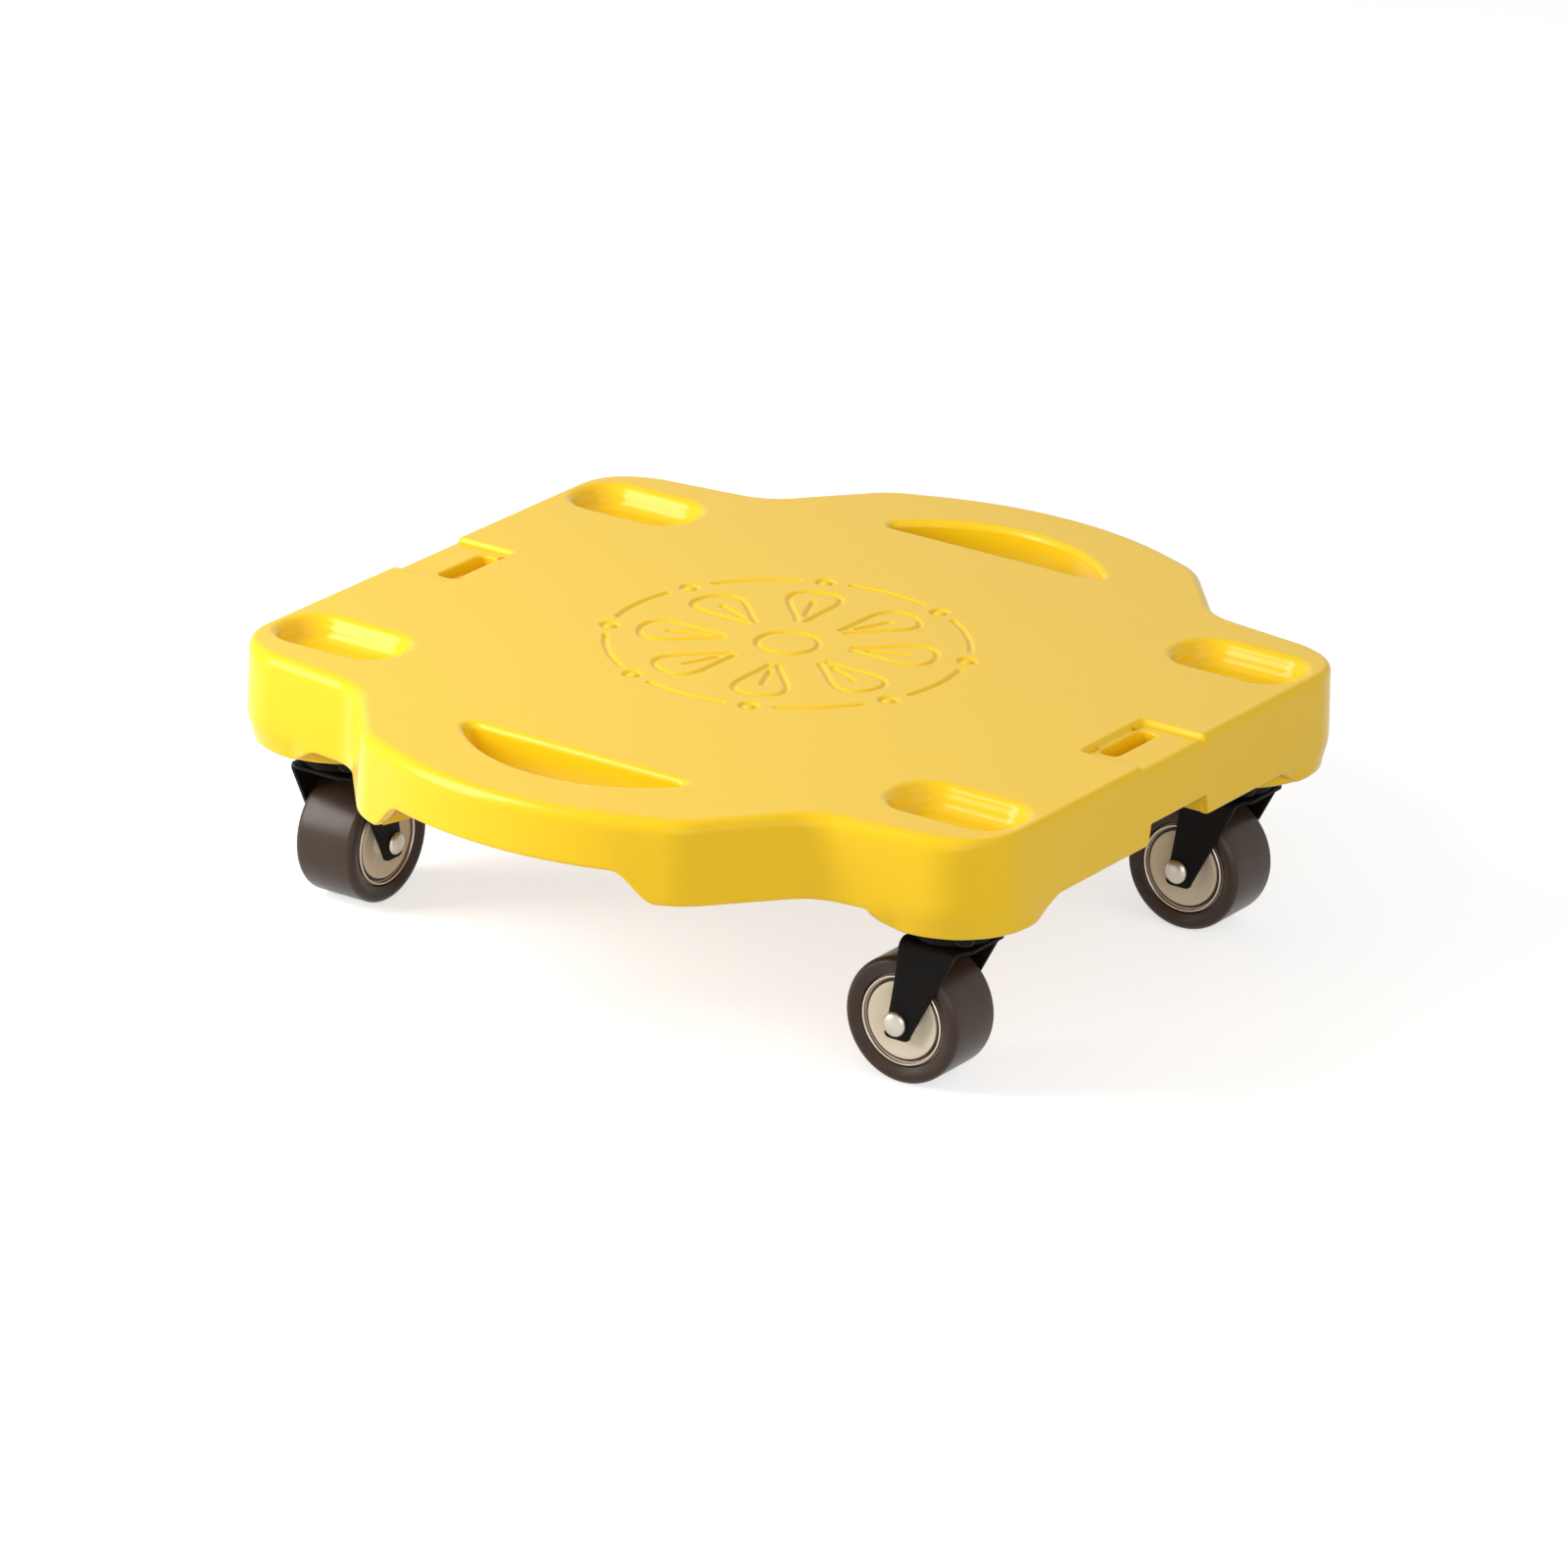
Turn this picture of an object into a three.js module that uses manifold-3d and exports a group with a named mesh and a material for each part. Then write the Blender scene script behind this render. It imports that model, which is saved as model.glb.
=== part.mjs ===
import * as THREE from 'three';
import { mergeVertices } from 'three/addons/utils/BufferGeometryUtils.js';
import Module from 'manifold-3d';

const wasm = await Module();
wasm.setup();

// Scooter board. Millimetres, +Z up, origin on the floor under the middle of the deck.
// X runs from one straight end to the other, Y runs from one wing to the other.

// Deck outline
const deckHalfLength = 190;
const lobeHalfWidth = 139.5;
const wingHalfWidth = 211.5;
const neckInset = 74.8;
const neckRise = 9.7;
const neckX = deckHalfLength - neckInset;
const neckY = lobeHalfWidth + neckRise;
const shoulderRun = 34.8;
const shoulderInset = 20.5;
const shoulderX = neckX - shoulderRun;
const shoulderY = wingHalfWidth - shoulderInset;
const wingPeakRise = 12.8;
const wingPeakY = wingHalfWidth + wingPeakRise;
const lobeCornerRadius = 32;
const neckRadius = 26;
const shoulderRadius = 36;

// Deck shell
const wheelRadius = 27;
const axleToDeckTop = 92.2;
const deckTopZ = wheelRadius + axleToDeckTop;
const deckDepth = 46;
const deckBottomZ = deckTopZ - deckDepth;
const edgeRound = 3.4;
const skirtWall = 4;
const topSkin = 4;
const overCut = 4;
const weld = 0.4;

// Lower edge of the skirt, depths below the top face
const sideSkirtDepth = 36.5;
const wingSkirtDepth = 23.5;
const notchDepth = 27.6;
const casterInsetX = 36.6;
const casterInsetY = 34.5;
const casterX = deckHalfLength - casterInsetX;
const casterY = lobeHalfWidth - casterInsetY;
const lobeStepInsetX = 14.4;
const lobeStepInsetY = 21;
const lobeStepX = casterX - lobeStepInsetX;
const lobeStepRunX = 14;
const lobeStepY = casterY - lobeStepInsetY;
const lobeStepRunY = 10;
const wingStepInset = 30.4;
const wingStepX = shoulderX - wingStepInset;
const wingStepRun = 17;
const wingStepRise = 6.8;
const wingStepY = neckY + wingStepRise;
const notchHalfWidth = 15;
const notchFlare = 5;
const notchReach = 12;

// Hand holes
const gripInset = 29;
const gripWidth = 34.1;
const gripOuterY = wingHalfWidth - gripInset;
const gripInnerY = gripOuterY - gripWidth;
const gripArcRadius = 72.8;
const gripTipRadius = 4;
const gripHalfLength = 57;
const gripRimWall = 3;
const gripRimDepth = 21;

// Strap slots in their lowered landings
const slotInset = 23.5;
const slotX = deckHalfLength - slotInset;
const slotHalfX = 4.5;
const slotHalfY = 16;
const slotCornerRadius = 3;
const slotRimWall = 3;
const slotRimDepth = 25;
const landingRun = 8;
const landingX = slotX - landingRun;
const landingHalfY = 24;
const landingDepth = 2;
const landingCornerRadius = 2;

// Caster nesting pockets
const pocketHalfX = 32.5;
const pocketHalfY = 20;
const pocketCornerRadius = 18;
const pocketDepth = 9.5;
const pocketTaper = 2;
const pocketWall = 3.5;

// Ribs under the top skin
const ribWall = 2.6;
const ribDepth = 19;
const ribInner = 35;
const ribInset = 11.2;
const ribXs = [ribInset - neckX, -ribInner, ribInner, neckX - ribInset];
const ribYs = [-casterY, -ribInner, ribInner, casterY];

// Caster pads
const padHalfX = 21.5;
const padHalfY = 21;
const padCornerRadius = 4;
const padThickness = 7;
const padRibWall = 3;
const padBossRadius = 5.5;
const padCentreRadius = 9;

// Caster plate and its screws
const seatGap = 0.2;
const plateHalfX = 20.5;
const plateHalfY = 20.3;
const plateThickness = 2.4;
const plateCornerRadius = 3.5;
const plateBoreRadius = 6.3;
const screwX = 15.6;
const screwY = 15.6;
const screwHoleRadius = 2.5;
const screwShankRadius = 2.1;
const screwPilotRadius = 2.5;
const screwLength = 14;
const screwPilotDepth = 18;
const screwHeadRadius = 4.2;
const screwHeadHeight = 2.2;
const screwHeadCrown = 1.2;
const screwTipLength = 3;

// Ball race
const raceRadius = 17;
const raceHeight = 5.6;
const raceBoreRadius = 6.3;
const raceLip = 1;
const raceShoulderHeight = 3;
const raceWaistRadius = 13.5;

// King pin
const pinRadius = 4.4;
const pinHeadRadius = 7;
const pinHeadHeight = 2.6;
const pinTopRadius = 7.5;
const pinTopHeight = 2.4;
const pinCrownRadius = 4.8;

// Fork
const trail = 14.5;
const forkThickness = 2;
const forkTopGap = 0.3;
const forkBoreRadius = 4.8;
const forkOuterBend = 4.5;
const forkInnerBend = 2.5;
const forkFront = 17;
const forkBack = 14.5;
const forkKneeX = 11.5;
const forkKneeDrop = 2.5;
const forkBackBow = 1.2;
const forkBackAtEnd = 5.5;
const forkFrontAtEnd = 6.5;
const forkEndDrop = 6.8;
const forkEndChamfer = 2;

// Wheel
const tyreHalfWidth = 15;
const tyreShoulder = 3;
const tyreFaceInset = 1.4;
const hubRadius = 19;
const fitGap = 0.3;
const trimInnerRadius = 17.6;
const trimThickness = 1.2;
const trimProud = 0.5;
const hubSeatDepth = 1.1;
const grooveInnerRadius = 16.2;
const hubGrooveDepth = 2.4;
const hubDishDepth = 1.6;
const hubCollarRadius = 6.5;
const hubBoreRadius = 3.6;
const legClearance = 0.8;
const hubSideClearance = 0.6;

// Axle bolt and nut
const axleRadius = 3.2;
const axleHoleRadius = 3.5;
const axleHeadRadius = 4.9;
const axleHeadHeight = 2.4;
const axleCrown = 1.6;
const nutBoreRadius = 3.4;
const nutRadius = 5.2;
const nutHeight = 3;
const nutCrown = 1.8;
const axleEndInset = 1;

// Facets per turn and per bend
const wheelTurn = 28;
const hubTurn = 16;
const ringTurn = 20;
const pocketSteps = 3;
const smallTurn = 10;
const screwTurn = 6;
const arcSteps = 4;
const bendSteps = 2;
const shoulderSteps = 2;
const half = 0.5;

const plateTopZ = deckBottomZ - seatGap;
const plateBottomZ = plateTopZ - plateThickness;
const raceTopZ = plateBottomZ - seatGap;
const raceBottomZ = raceTopZ - raceHeight;
const forkTopZ = raceBottomZ - forkTopGap;
const forkUnderZ = forkTopZ - forkThickness;
const legInnerY = tyreHalfWidth + legClearance;
const legOuterY = legInnerY + forkThickness;

const deckYellow = 0xf6c936;
const steelBlack = 0x1c1815;
const zinc = 0xb9b4ac;
const tyreBrown = 0x40342c;
const hubCream = 0xd6cbb6;

function toSolid(geometry) {
  const bare = new THREE.BufferGeometry();
  bare.setAttribute('position', geometry.getAttribute('position').clone());
  if (geometry.index) bare.setIndex(geometry.index.clone());
  const merged = mergeVertices(bare);
  return new wasm.Manifold(new wasm.Mesh({
    numProp: 3,
    vertProperties: new Float32Array(merged.attributes.position.array),
    triVerts: new Uint32Array(merged.index.array),
  }));
}

function toGeometry(solid) {
  const data = solid.getMesh();
  const geometry = new THREE.BufferGeometry();
  const places = new Float32Array(data.vertProperties);
  geometry.setAttribute('position', new THREE.BufferAttribute(places, 3));
  geometry.setIndex(new THREE.BufferAttribute(new Uint32Array(data.triVerts), 1));
  geometry.computeVertexNormals();
  return geometry;
}

// The same solid moved, turned or mirrored by a matrix.
function moved(solid, matrix) {
  const geometry = toGeometry(solid).applyMatrix4(matrix);
  if (matrix.determinant() < 0) {
    const index = geometry.index.array;
    for (let corner = 0; corner < index.length; corner += 3) {
      [index[corner + 1], index[corner + 2]] = [index[corner + 2], index[corner + 1]];
    }
  }
  return toSolid(geometry);
}

function shifted(solid, x, y, z = 0) {
  return moved(solid, new THREE.Matrix4().makeTranslation(x, y, z));
}

function piece(name, geometry, colour, roughness, metalness) {
  const material = new THREE.MeshStandardMaterial({ color: colour, roughness, metalness });
  const mesh = new THREE.Mesh(geometry, material);
  mesh.name = name;
  return mesh;
}

// A closed outline with every corner rounded to its own radius.
function roundedShape(corners) {
  const shape = new THREE.Shape();
  corners.forEach((corner, index) => {
    const before = corners[(index + corners.length - 1) % corners.length];
    const after = corners[(index + 1) % corners.length];
    const here = new THREE.Vector2(corner.x, corner.y);
    const inward = new THREE.Vector2(before.x, before.y).sub(here).normalize();
    const outward = new THREE.Vector2(after.x, after.y).sub(here).normalize();
    if (!corner.r) {
      if (index === 0) shape.moveTo(here.x, here.y);
      else shape.lineTo(here.x, here.y);
      return;
    }
    const halfAngle = Math.acos(THREE.MathUtils.clamp(inward.dot(outward), -1, 1)) * half;
    const reach = corner.r / Math.tan(halfAngle);
    const start = here.clone().addScaledVector(inward, reach);
    const end = here.clone().addScaledVector(outward, reach);
    const middle = inward.clone().add(outward).normalize();
    const centre = here.clone().addScaledVector(middle, corner.r / Math.sin(halfAngle));
    const from = Math.atan2(start.y - centre.y, start.x - centre.x);
    const to = Math.atan2(end.y - centre.y, end.x - centre.x);
    const clockwise = inward.cross(outward) > 0;
    if (index === 0) shape.moveTo(start.x, start.y);
    else shape.lineTo(start.x, start.y);
    shape.absarc(centre.x, centre.y, corner.r, from, to, clockwise);
  });
  shape.closePath();
  return shape;
}

function rectangleShape(x0, x1, y0, y1, radius) {
  return roundedShape([
    { x: x1, y: y0, r: radius },
    { x: x1, y: y1, r: radius },
    { x: x0, y: y1, r: radius },
    { x: x0, y: y0, r: radius },
  ]);
}

function extrudeUp(shape, z0, z1, steps = arcSteps) {
  const geometry = new THREE.ExtrudeGeometry(shape, {
    depth: z1 - z0, bevelEnabled: false, curveSegments: steps,
  });
  geometry.translate(0, 0, z0);
  return toSolid(geometry);
}

// A profile drawn in X and Z, run along Y.
function extrudeAlongY(shape, y0, y1, steps = arcSteps) {
  const geometry = new THREE.ExtrudeGeometry(shape, {
    depth: y1 - y0, bevelEnabled: false, curveSegments: steps,
  });
  geometry.rotateX(Math.PI * half);
  geometry.translate(0, y1, 0);
  return toSolid(geometry);
}

// A profile drawn in Y and Z, run along X.
function extrudeAlongX(shape, x0, x1, steps = arcSteps) {
  const geometry = new THREE.ExtrudeGeometry(shape, {
    depth: x1 - x0, bevelEnabled: false, curveSegments: steps,
  });
  geometry.rotateX(Math.PI * half);
  geometry.rotateZ(Math.PI * half);
  geometry.translate(x0, 0, 0);
  return toSolid(geometry);
}

function box(x0, x1, y0, y1, z0, z1) {
  const geometry = new THREE.BoxGeometry(x1 - x0, y1 - y0, z1 - z0);
  geometry.translate((x0 + x1) * half, (y0 + y1) * half, (z0 + z1) * half);
  return toSolid(geometry);
}

function upright(radius, z0, z1, turn) {
  const geometry = new THREE.CylinderGeometry(radius, radius, z1 - z0, turn);
  geometry.rotateX(Math.PI * half);
  geometry.translate(0, 0, (z0 + z1) * half);
  return toSolid(geometry);
}

// A closed profile of radius and height turned about Z, taken in the order that faces out.
function turned(profile, turn) {
  const points = profile.map(([radius, height]) => new THREE.Vector2(radius, height));
  if (THREE.ShapeUtils.area(points) < 0) points.reverse();
  const geometry = new THREE.LatheGeometry(points, turn);
  geometry.rotateX(Math.PI * half);
  return toSolid(geometry);
}

function ringProfile(profile) {
  return [...profile, profile[0]];
}

// Points of a quarter bend from one direction to another about a centre.
function bend(cx, cy, radius, from, to, steps) {
  return Array.from({ length: steps + 1 }, (unused, index) => {
    const angle = from + ((to - from) * index) / steps;
    return [cx + radius * Math.cos(angle), cy + radius * Math.sin(angle)];
  });
}

function wingRadius() {
  const lean = Math.atan2(wingPeakY - shoulderY, shoulderX);
  return (wingPeakY - wingHalfWidth) / (1 / Math.cos(lean) - 1);
}

function deckOutline() {
  const quarter = [
    { x: deckHalfLength, y: lobeHalfWidth, r: lobeCornerRadius },
    { x: neckX, y: neckY, r: neckRadius },
    { x: shoulderX, y: shoulderY, r: shoulderRadius },
  ];
  const peak = { x: 0, y: wingPeakY, r: wingRadius() };
  const flipX = (list) => list.map(({ x, y, r }) => ({ x: -x, y, r })).reverse();
  const upper = [...quarter, peak, ...flipX(quarter)];
  const lower = upper.map(({ x, y, r }) => ({ x: -x, y: -y, r }));
  return roundedShape([...upper, ...lower]);
}

// The outline moved inwards by a wall.
function insetShape(shape, wall) {
  const points = shape.getPoints(arcSteps);
  if (points[0].distanceTo(points[points.length - 1]) < weld * weld) points.pop();
  const moved = points.map((point, index) => {
    const before = points[(index + points.length - 1) % points.length];
    const after = points[(index + 1) % points.length];
    const inRun = point.clone().sub(before).normalize();
    const outRun = after.clone().sub(point).normalize();
    const along = inRun.clone().add(outRun).normalize();
    const stretch = 1 / Math.max(along.dot(outRun), half);
    return new THREE.Vector2(point.x - along.y * wall * stretch, point.y + along.x * wall * stretch);
  });
  return new THREE.Shape(moved);
}

function gripShape(grow) {
  const arcCentreY = gripOuterY - gripArcRadius;
  const radius = gripArcRadius + grow;
  const innerY = gripInnerY - grow;
  const chord = Math.sqrt(radius * radius - (innerY - arcCentreY) * (innerY - arcCentreY));
  const tip = Math.min(chord - gripTipRadius, gripHalfLength + grow);
  const tipY = arcCentreY + Math.sqrt(radius * radius - tip * tip);
  const angle = Math.atan2(tipY - arcCentreY, tip);
  const shape = new THREE.Shape();
  shape.moveTo(-tip + gripTipRadius, innerY);
  shape.lineTo(tip - gripTipRadius, innerY);
  shape.quadraticCurveTo(tip + gripTipRadius * half, innerY, tip, tipY);
  shape.absarc(0, arcCentreY, radius, angle, Math.PI - angle, false);
  shape.quadraticCurveTo(-tip - gripTipRadius * half, innerY, -tip + gripTipRadius, innerY);
  return shape;
}

function bothWings(solid) {
  return solid.add(moved(solid, new THREE.Matrix4().makeRotationZ(Math.PI)));
}

function fourCorners(solid) {
  const row = solid.add(moved(solid, new THREE.Matrix4().makeScale(-1, 1, 1)));
  return row.add(moved(row, new THREE.Matrix4().makeScale(1, -1, 1)));
}

// The skirt is cut shallow along the sides, shallower under the wings, and left deep at the lobes.
function skirtCuts() {
  const floorZ = deckBottomZ - overCut;
  const sideZ = deckTopZ - sideSkirtDepth;
  const wingZ = deckTopZ - wingSkirtDepth;
  const wide = deckHalfLength + overCut;
  const deep = wingHalfWidth + overCut;
  const stepShape = (inner, run, topZ) => {
    const shape = new THREE.Shape();
    const outer = inner + run;
    shape.moveTo(-outer, floorZ);
    shape.lineTo(outer, floorZ);
    shape.bezierCurveTo(outer - run * half, floorZ, inner + run * half, topZ, inner, topZ);
    shape.lineTo(-inner, topZ);
    shape.bezierCurveTo(-inner - run * half, topZ, -outer + run * half, floorZ, -outer, floorZ);
    return shape;
  };
  const acrossLobes = extrudeAlongY(stepShape(lobeStepX, lobeStepRunX, sideZ), -deep, deep);
  const alongEnds = extrudeAlongX(stepShape(lobeStepY, lobeStepRunY, sideZ), -wide, wide);
  const wing = bothWings(extrudeAlongY(stepShape(wingStepX, wingStepRun, wingZ), wingStepY, deep));
  return acrossLobes.add(alongEnds).add(wing);
}

function endNotches() {
  const floorZ = deckBottomZ - overCut;
  const topZ = deckTopZ - notchDepth;
  const shape = roundedShape([
    { x: -notchHalfWidth - notchFlare, y: floorZ, r: 0 },
    { x: notchHalfWidth + notchFlare, y: floorZ, r: 0 },
    { x: notchHalfWidth, y: topZ, r: notchFlare * half },
    { x: -notchHalfWidth, y: topZ, r: notchFlare * half },
  ]);
  const inner = deckHalfLength - notchReach;
  return bothWings(extrudeAlongX(shape, inner, deckHalfLength + overCut, bendSteps));
}

function ribGrid() {
  const ribBottomZ = deckTopZ - ribDepth;
  const ribTopZ = deckTopZ - topSkin + weld;
  const wall = ribWall * half;
  const along = ribYs.map((y) => box(
    -deckHalfLength, deckHalfLength, y - wall, y + wall, ribBottomZ, ribTopZ,
  ));
  const across = ribXs.map((x) => box(
    x - wall, x + wall, -wingHalfWidth, wingHalfWidth, ribBottomZ, ribTopZ,
  ));
  return [...along, ...across].reduce((sum, rib) => sum.add(rib));
}

// One caster pad: a thick plate on crossed ribs, with a round boss over each screw.
function casterPad() {
  const padTopZ = deckBottomZ + padThickness;
  const skinZ = deckTopZ - topSkin + weld;
  const wall = padRibWall * half;
  const plate = extrudeUp(
    rectangleShape(-padHalfX, padHalfX, -padHalfY, padHalfY, padCornerRadius),
    deckBottomZ, padTopZ, bendSteps,
  );
  const reachX = deckHalfLength - casterX - skirtWall * half;
  const reachY = lobeHalfWidth - casterY - skirtWall * half;
  const webX = box(-padHalfX, reachX, -wall, wall, padTopZ - weld, skinZ);
  const webY = box(-wall, wall, -padHalfY, reachY, padTopZ - weld, skinZ);
  let pad = plate.add(webX).add(webY);
  for (const sx of [-1, 1]) {
    for (const sy of [-1, 1]) {
      const boss = upright(padBossRadius, padTopZ - weld, skinZ, screwTurn);
      pad = pad.add(shifted(boss, sx * screwX, sy * screwY));
    }
  }
  return pad;
}

function padHoles() {
  const lowZ = deckBottomZ - overCut;
  let holes = upright(padCentreRadius, lowZ, deckBottomZ + padThickness + overCut, smallTurn);
  for (const sx of [-1, 1]) {
    for (const sy of [-1, 1]) {
      const hole = upright(screwPilotRadius, lowZ, deckBottomZ + screwPilotDepth, screwTurn);
      holes = holes.add(shifted(hole, sx * screwX, sy * screwY));
    }
  }
  return holes;
}

function pocketShape(grow) {
  return rectangleShape(
    -pocketHalfX - grow, pocketHalfX + grow, -pocketHalfY - grow, pocketHalfY + grow,
    pocketCornerRadius + grow,
  );
}

// The pocket narrows towards its floor.
function pocketCut() {
  const rim = pocketShape(0);
  const geometry = new THREE.ExtrudeGeometry(rim, {
    depth: pocketDepth + overCut, bevelEnabled: false, curveSegments: pocketSteps,
  });
  const position = geometry.getAttribute('position');
  for (let index = 0; index < position.count; index += 1) {
    const shareDown = 1 - position.getZ(index) / (pocketDepth + overCut);
    const taper = pocketTaper * shareDown;
    position.setX(index, position.getX(index) * (1 - taper / pocketHalfX));
    position.setY(index, position.getY(index) * (1 - taper / pocketHalfY));
  }
  geometry.translate(0, 0, deckTopZ - pocketDepth);
  return toSolid(geometry);
}

function slotAndLanding() {
  const slot = extrudeUp(
    rectangleShape(slotX - slotHalfX, slotX + slotHalfX, -slotHalfY, slotHalfY, slotCornerRadius),
    deckBottomZ - overCut, deckTopZ + overCut, bendSteps,
  );
  const landing = extrudeUp(
    rectangleShape(
      landingX, deckHalfLength + overCut + landingCornerRadius, -landingHalfY, landingHalfY,
      landingCornerRadius,
    ),
    deckTopZ - landingDepth, deckTopZ + overCut, bendSteps,
  );
  return bothWings(slot.add(landing));
}

function slotRims() {
  const x0 = slotX - slotHalfX - slotRimWall;
  const x1 = slotX + slotHalfX + slotRimWall;
  const y1 = slotHalfY + slotRimWall;
  const rim = extrudeUp(
    rectangleShape(x0, x1, -y1, y1, slotCornerRadius + slotRimWall),
    deckTopZ - slotRimDepth, deckTopZ - topSkin + weld, bendSteps,
  );
  return bothWings(rim);
}

function deck() {
  const outline = deckOutline();
  const body = new THREE.ExtrudeGeometry(outline, {
    depth: deckDepth - edgeRound - edgeRound,
    bevelEnabled: true,
    bevelThickness: edgeRound,
    bevelSize: edgeRound,
    bevelOffset: -edgeRound,
    bevelSegments: bendSteps,
    curveSegments: arcSteps,
  });
  body.translate(0, 0, deckBottomZ + edgeRound);
  const outer = toSolid(body);
  const cavityShape = insetShape(outline, skirtWall);
  const cavity = extrudeUp(cavityShape, deckBottomZ - overCut, deckTopZ - topSkin);
  let shell = outer.subtract(cavity).subtract(skirtCuts()).subtract(endNotches());
  const inside = extrudeUp(insetShape(outline, skirtWall - weld), deckBottomZ, deckTopZ - topSkin + weld);
  const gripRim = bothWings(extrudeUp(
    gripShape(gripRimWall), deckTopZ - gripRimDepth, deckTopZ - topSkin + weld,
  ));
  const pocketBowl = extrudeUp(
    pocketShape(pocketWall), deckTopZ - pocketDepth - pocketWall, deckTopZ - topSkin + weld, bendSteps,
  );
  const tower = shifted(pocketBowl.add(casterPad()), casterX, casterY);
  const under = ribGrid().add(gripRim).add(slotRims()).add(fourCorners(tower));
  shell = shell.add(under.intersect(inside));
  const grips = bothWings(extrudeUp(gripShape(0), deckBottomZ - overCut, deckTopZ + overCut));
  const corner = shifted(pocketCut().add(padHoles()), casterX, casterY);
  shell = shell.subtract(grips).subtract(fourCorners(corner)).subtract(slotAndLanding());
  return piece('deck', toGeometry(shell), deckYellow, 0.42, 0);
}

function plate() {
  let solid = extrudeUp(
    rectangleShape(-plateHalfX, plateHalfX, -plateHalfY, plateHalfY, plateCornerRadius),
    plateBottomZ, plateTopZ, bendSteps,
  );
  solid = solid.subtract(upright(plateBoreRadius, plateBottomZ - overCut, plateTopZ + overCut, smallTurn));
  for (const sx of [-1, 1]) {
    for (const sy of [-1, 1]) {
      const hole = upright(screwHoleRadius, plateBottomZ - overCut, plateTopZ + overCut, screwTurn);
      solid = solid.subtract(shifted(hole, sx * screwX, sy * screwY));
    }
  }
  return solid;
}

function race() {
  const dropZ = raceTopZ - raceShoulderHeight;
  return turned(ringProfile([
    [raceBoreRadius, raceBottomZ],
    [raceRadius - raceLip, raceBottomZ],
    [raceRadius, raceBottomZ + raceLip],
    [raceRadius, dropZ],
    [raceWaistRadius, raceTopZ],
    [raceBoreRadius, raceTopZ],
  ]), ringTurn);
}

function kingPin() {
  const headTopZ = forkUnderZ - forkTopGap;
  const headBottomZ = headTopZ - pinHeadHeight;
  const capZ = plateTopZ + seatGap;
  return turned([
    [0, headBottomZ],
    [pinCrownRadius, headBottomZ],
    [pinHeadRadius, headTopZ],
    [pinRadius, headTopZ],
    [pinRadius, capZ],
    [pinTopRadius, capZ],
    [pinCrownRadius, capZ + pinTopHeight],
    [0, capZ + pinTopHeight],
  ], smallTurn);
}

function screw() {
  const seatZ = plateBottomZ - seatGap;
  const tipZ = seatZ + screwLength;
  return turned([
    [0, seatZ - screwHeadHeight],
    [screwHeadRadius - screwHeadCrown, seatZ - screwHeadHeight],
    [screwHeadRadius, seatZ],
    [screwShankRadius, seatZ],
    [screwShankRadius, tipZ - screwTipLength],
    [0, tipZ],
  ], screwTurn);
}

// Side view of the fork: a broad brow under the race, legs raked back and narrowing to the axle.
function forkSide() {
  const endZ = wheelRadius - forkEndDrop;
  const backX = -trail - forkBackAtEnd;
  const frontX = forkFrontAtEnd - trail;
  const kneeZ = forkUnderZ - forkKneeDrop;
  const shape = new THREE.Shape();
  shape.moveTo(backX + forkEndChamfer, endZ);
  shape.lineTo(frontX - forkEndChamfer, endZ);
  shape.lineTo(frontX, endZ + forkEndChamfer);
  shape.lineTo(forkKneeX, kneeZ);
  shape.quadraticCurveTo((forkKneeX + forkFront) * half, forkUnderZ, forkFront, forkUnderZ);
  shape.lineTo(forkFront, forkTopZ);
  shape.lineTo(-forkBack, forkTopZ);
  shape.lineTo(-forkBack, forkUnderZ);
  const middleZ = (forkUnderZ + wheelRadius) * half;
  shape.quadraticCurveTo(-forkBack - forkBackBow, middleZ, backX, endZ + forkEndChamfer);
  shape.closePath();
  return shape;
}

// Front view of the fork: one bent strip.
function forkFrontView() {
  const low = 0;
  const outer = roundedShape([
    { x: -legOuterY, y: low, r: 0 },
    { x: -legInnerY, y: low, r: 0 },
    { x: -legInnerY, y: forkUnderZ, r: forkInnerBend },
    { x: legInnerY, y: forkUnderZ, r: forkInnerBend },
    { x: legInnerY, y: low, r: 0 },
    { x: legOuterY, y: low, r: 0 },
    { x: legOuterY, y: forkTopZ, r: forkOuterBend },
    { x: -legOuterY, y: forkTopZ, r: forkOuterBend },
  ]);
  return outer;
}

function fork() {
  const farX = -wheelRadius - forkFront;
  const wideY = legOuterY + overCut;
  const strip = extrudeAlongX(forkFrontView(), farX, forkFront + overCut, bendSteps);
  const side = extrudeAlongY(forkSide(), -wideY, wideY, bendSteps);
  const crownRadius = Math.hypot(legOuterY, forkKneeX);
  const crown = upright(crownRadius, 0, forkTopZ + overCut, ringTurn);
  const tail = box(farX, 0, -wideY, wideY, 0, forkTopZ + overCut);
  let solid = strip.intersect(side).intersect(crown.add(tail));
  solid = solid.subtract(upright(forkBoreRadius, 0, forkTopZ + overCut, smallTurn));
  const hole = upright(axleHoleRadius, -wideY, wideY, smallTurn);
  return solid.subtract(onAxle(hole));
}

// Parts turned about the axle are drawn upright and laid down on it.
function onAxle(solid) {
  const matrix = new THREE.Matrix4().makeRotationX(Math.PI * half);
  return moved(solid, matrix.setPosition(-trail, 0, wheelRadius));
}

function axleBolt() {
  const headSeat = -legOuterY - seatGap;
  const end = legOuterY + seatGap + nutHeight - axleEndInset;
  return onAxle(turned([
    [0, headSeat - axleHeadHeight],
    [axleHeadRadius - axleCrown, headSeat - axleHeadHeight],
    [axleHeadRadius, headSeat - axleHeadHeight + axleCrown],
    [axleHeadRadius, headSeat],
    [axleRadius, headSeat],
    [axleRadius, end],
    [0, end],
  ], smallTurn));
}

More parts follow.
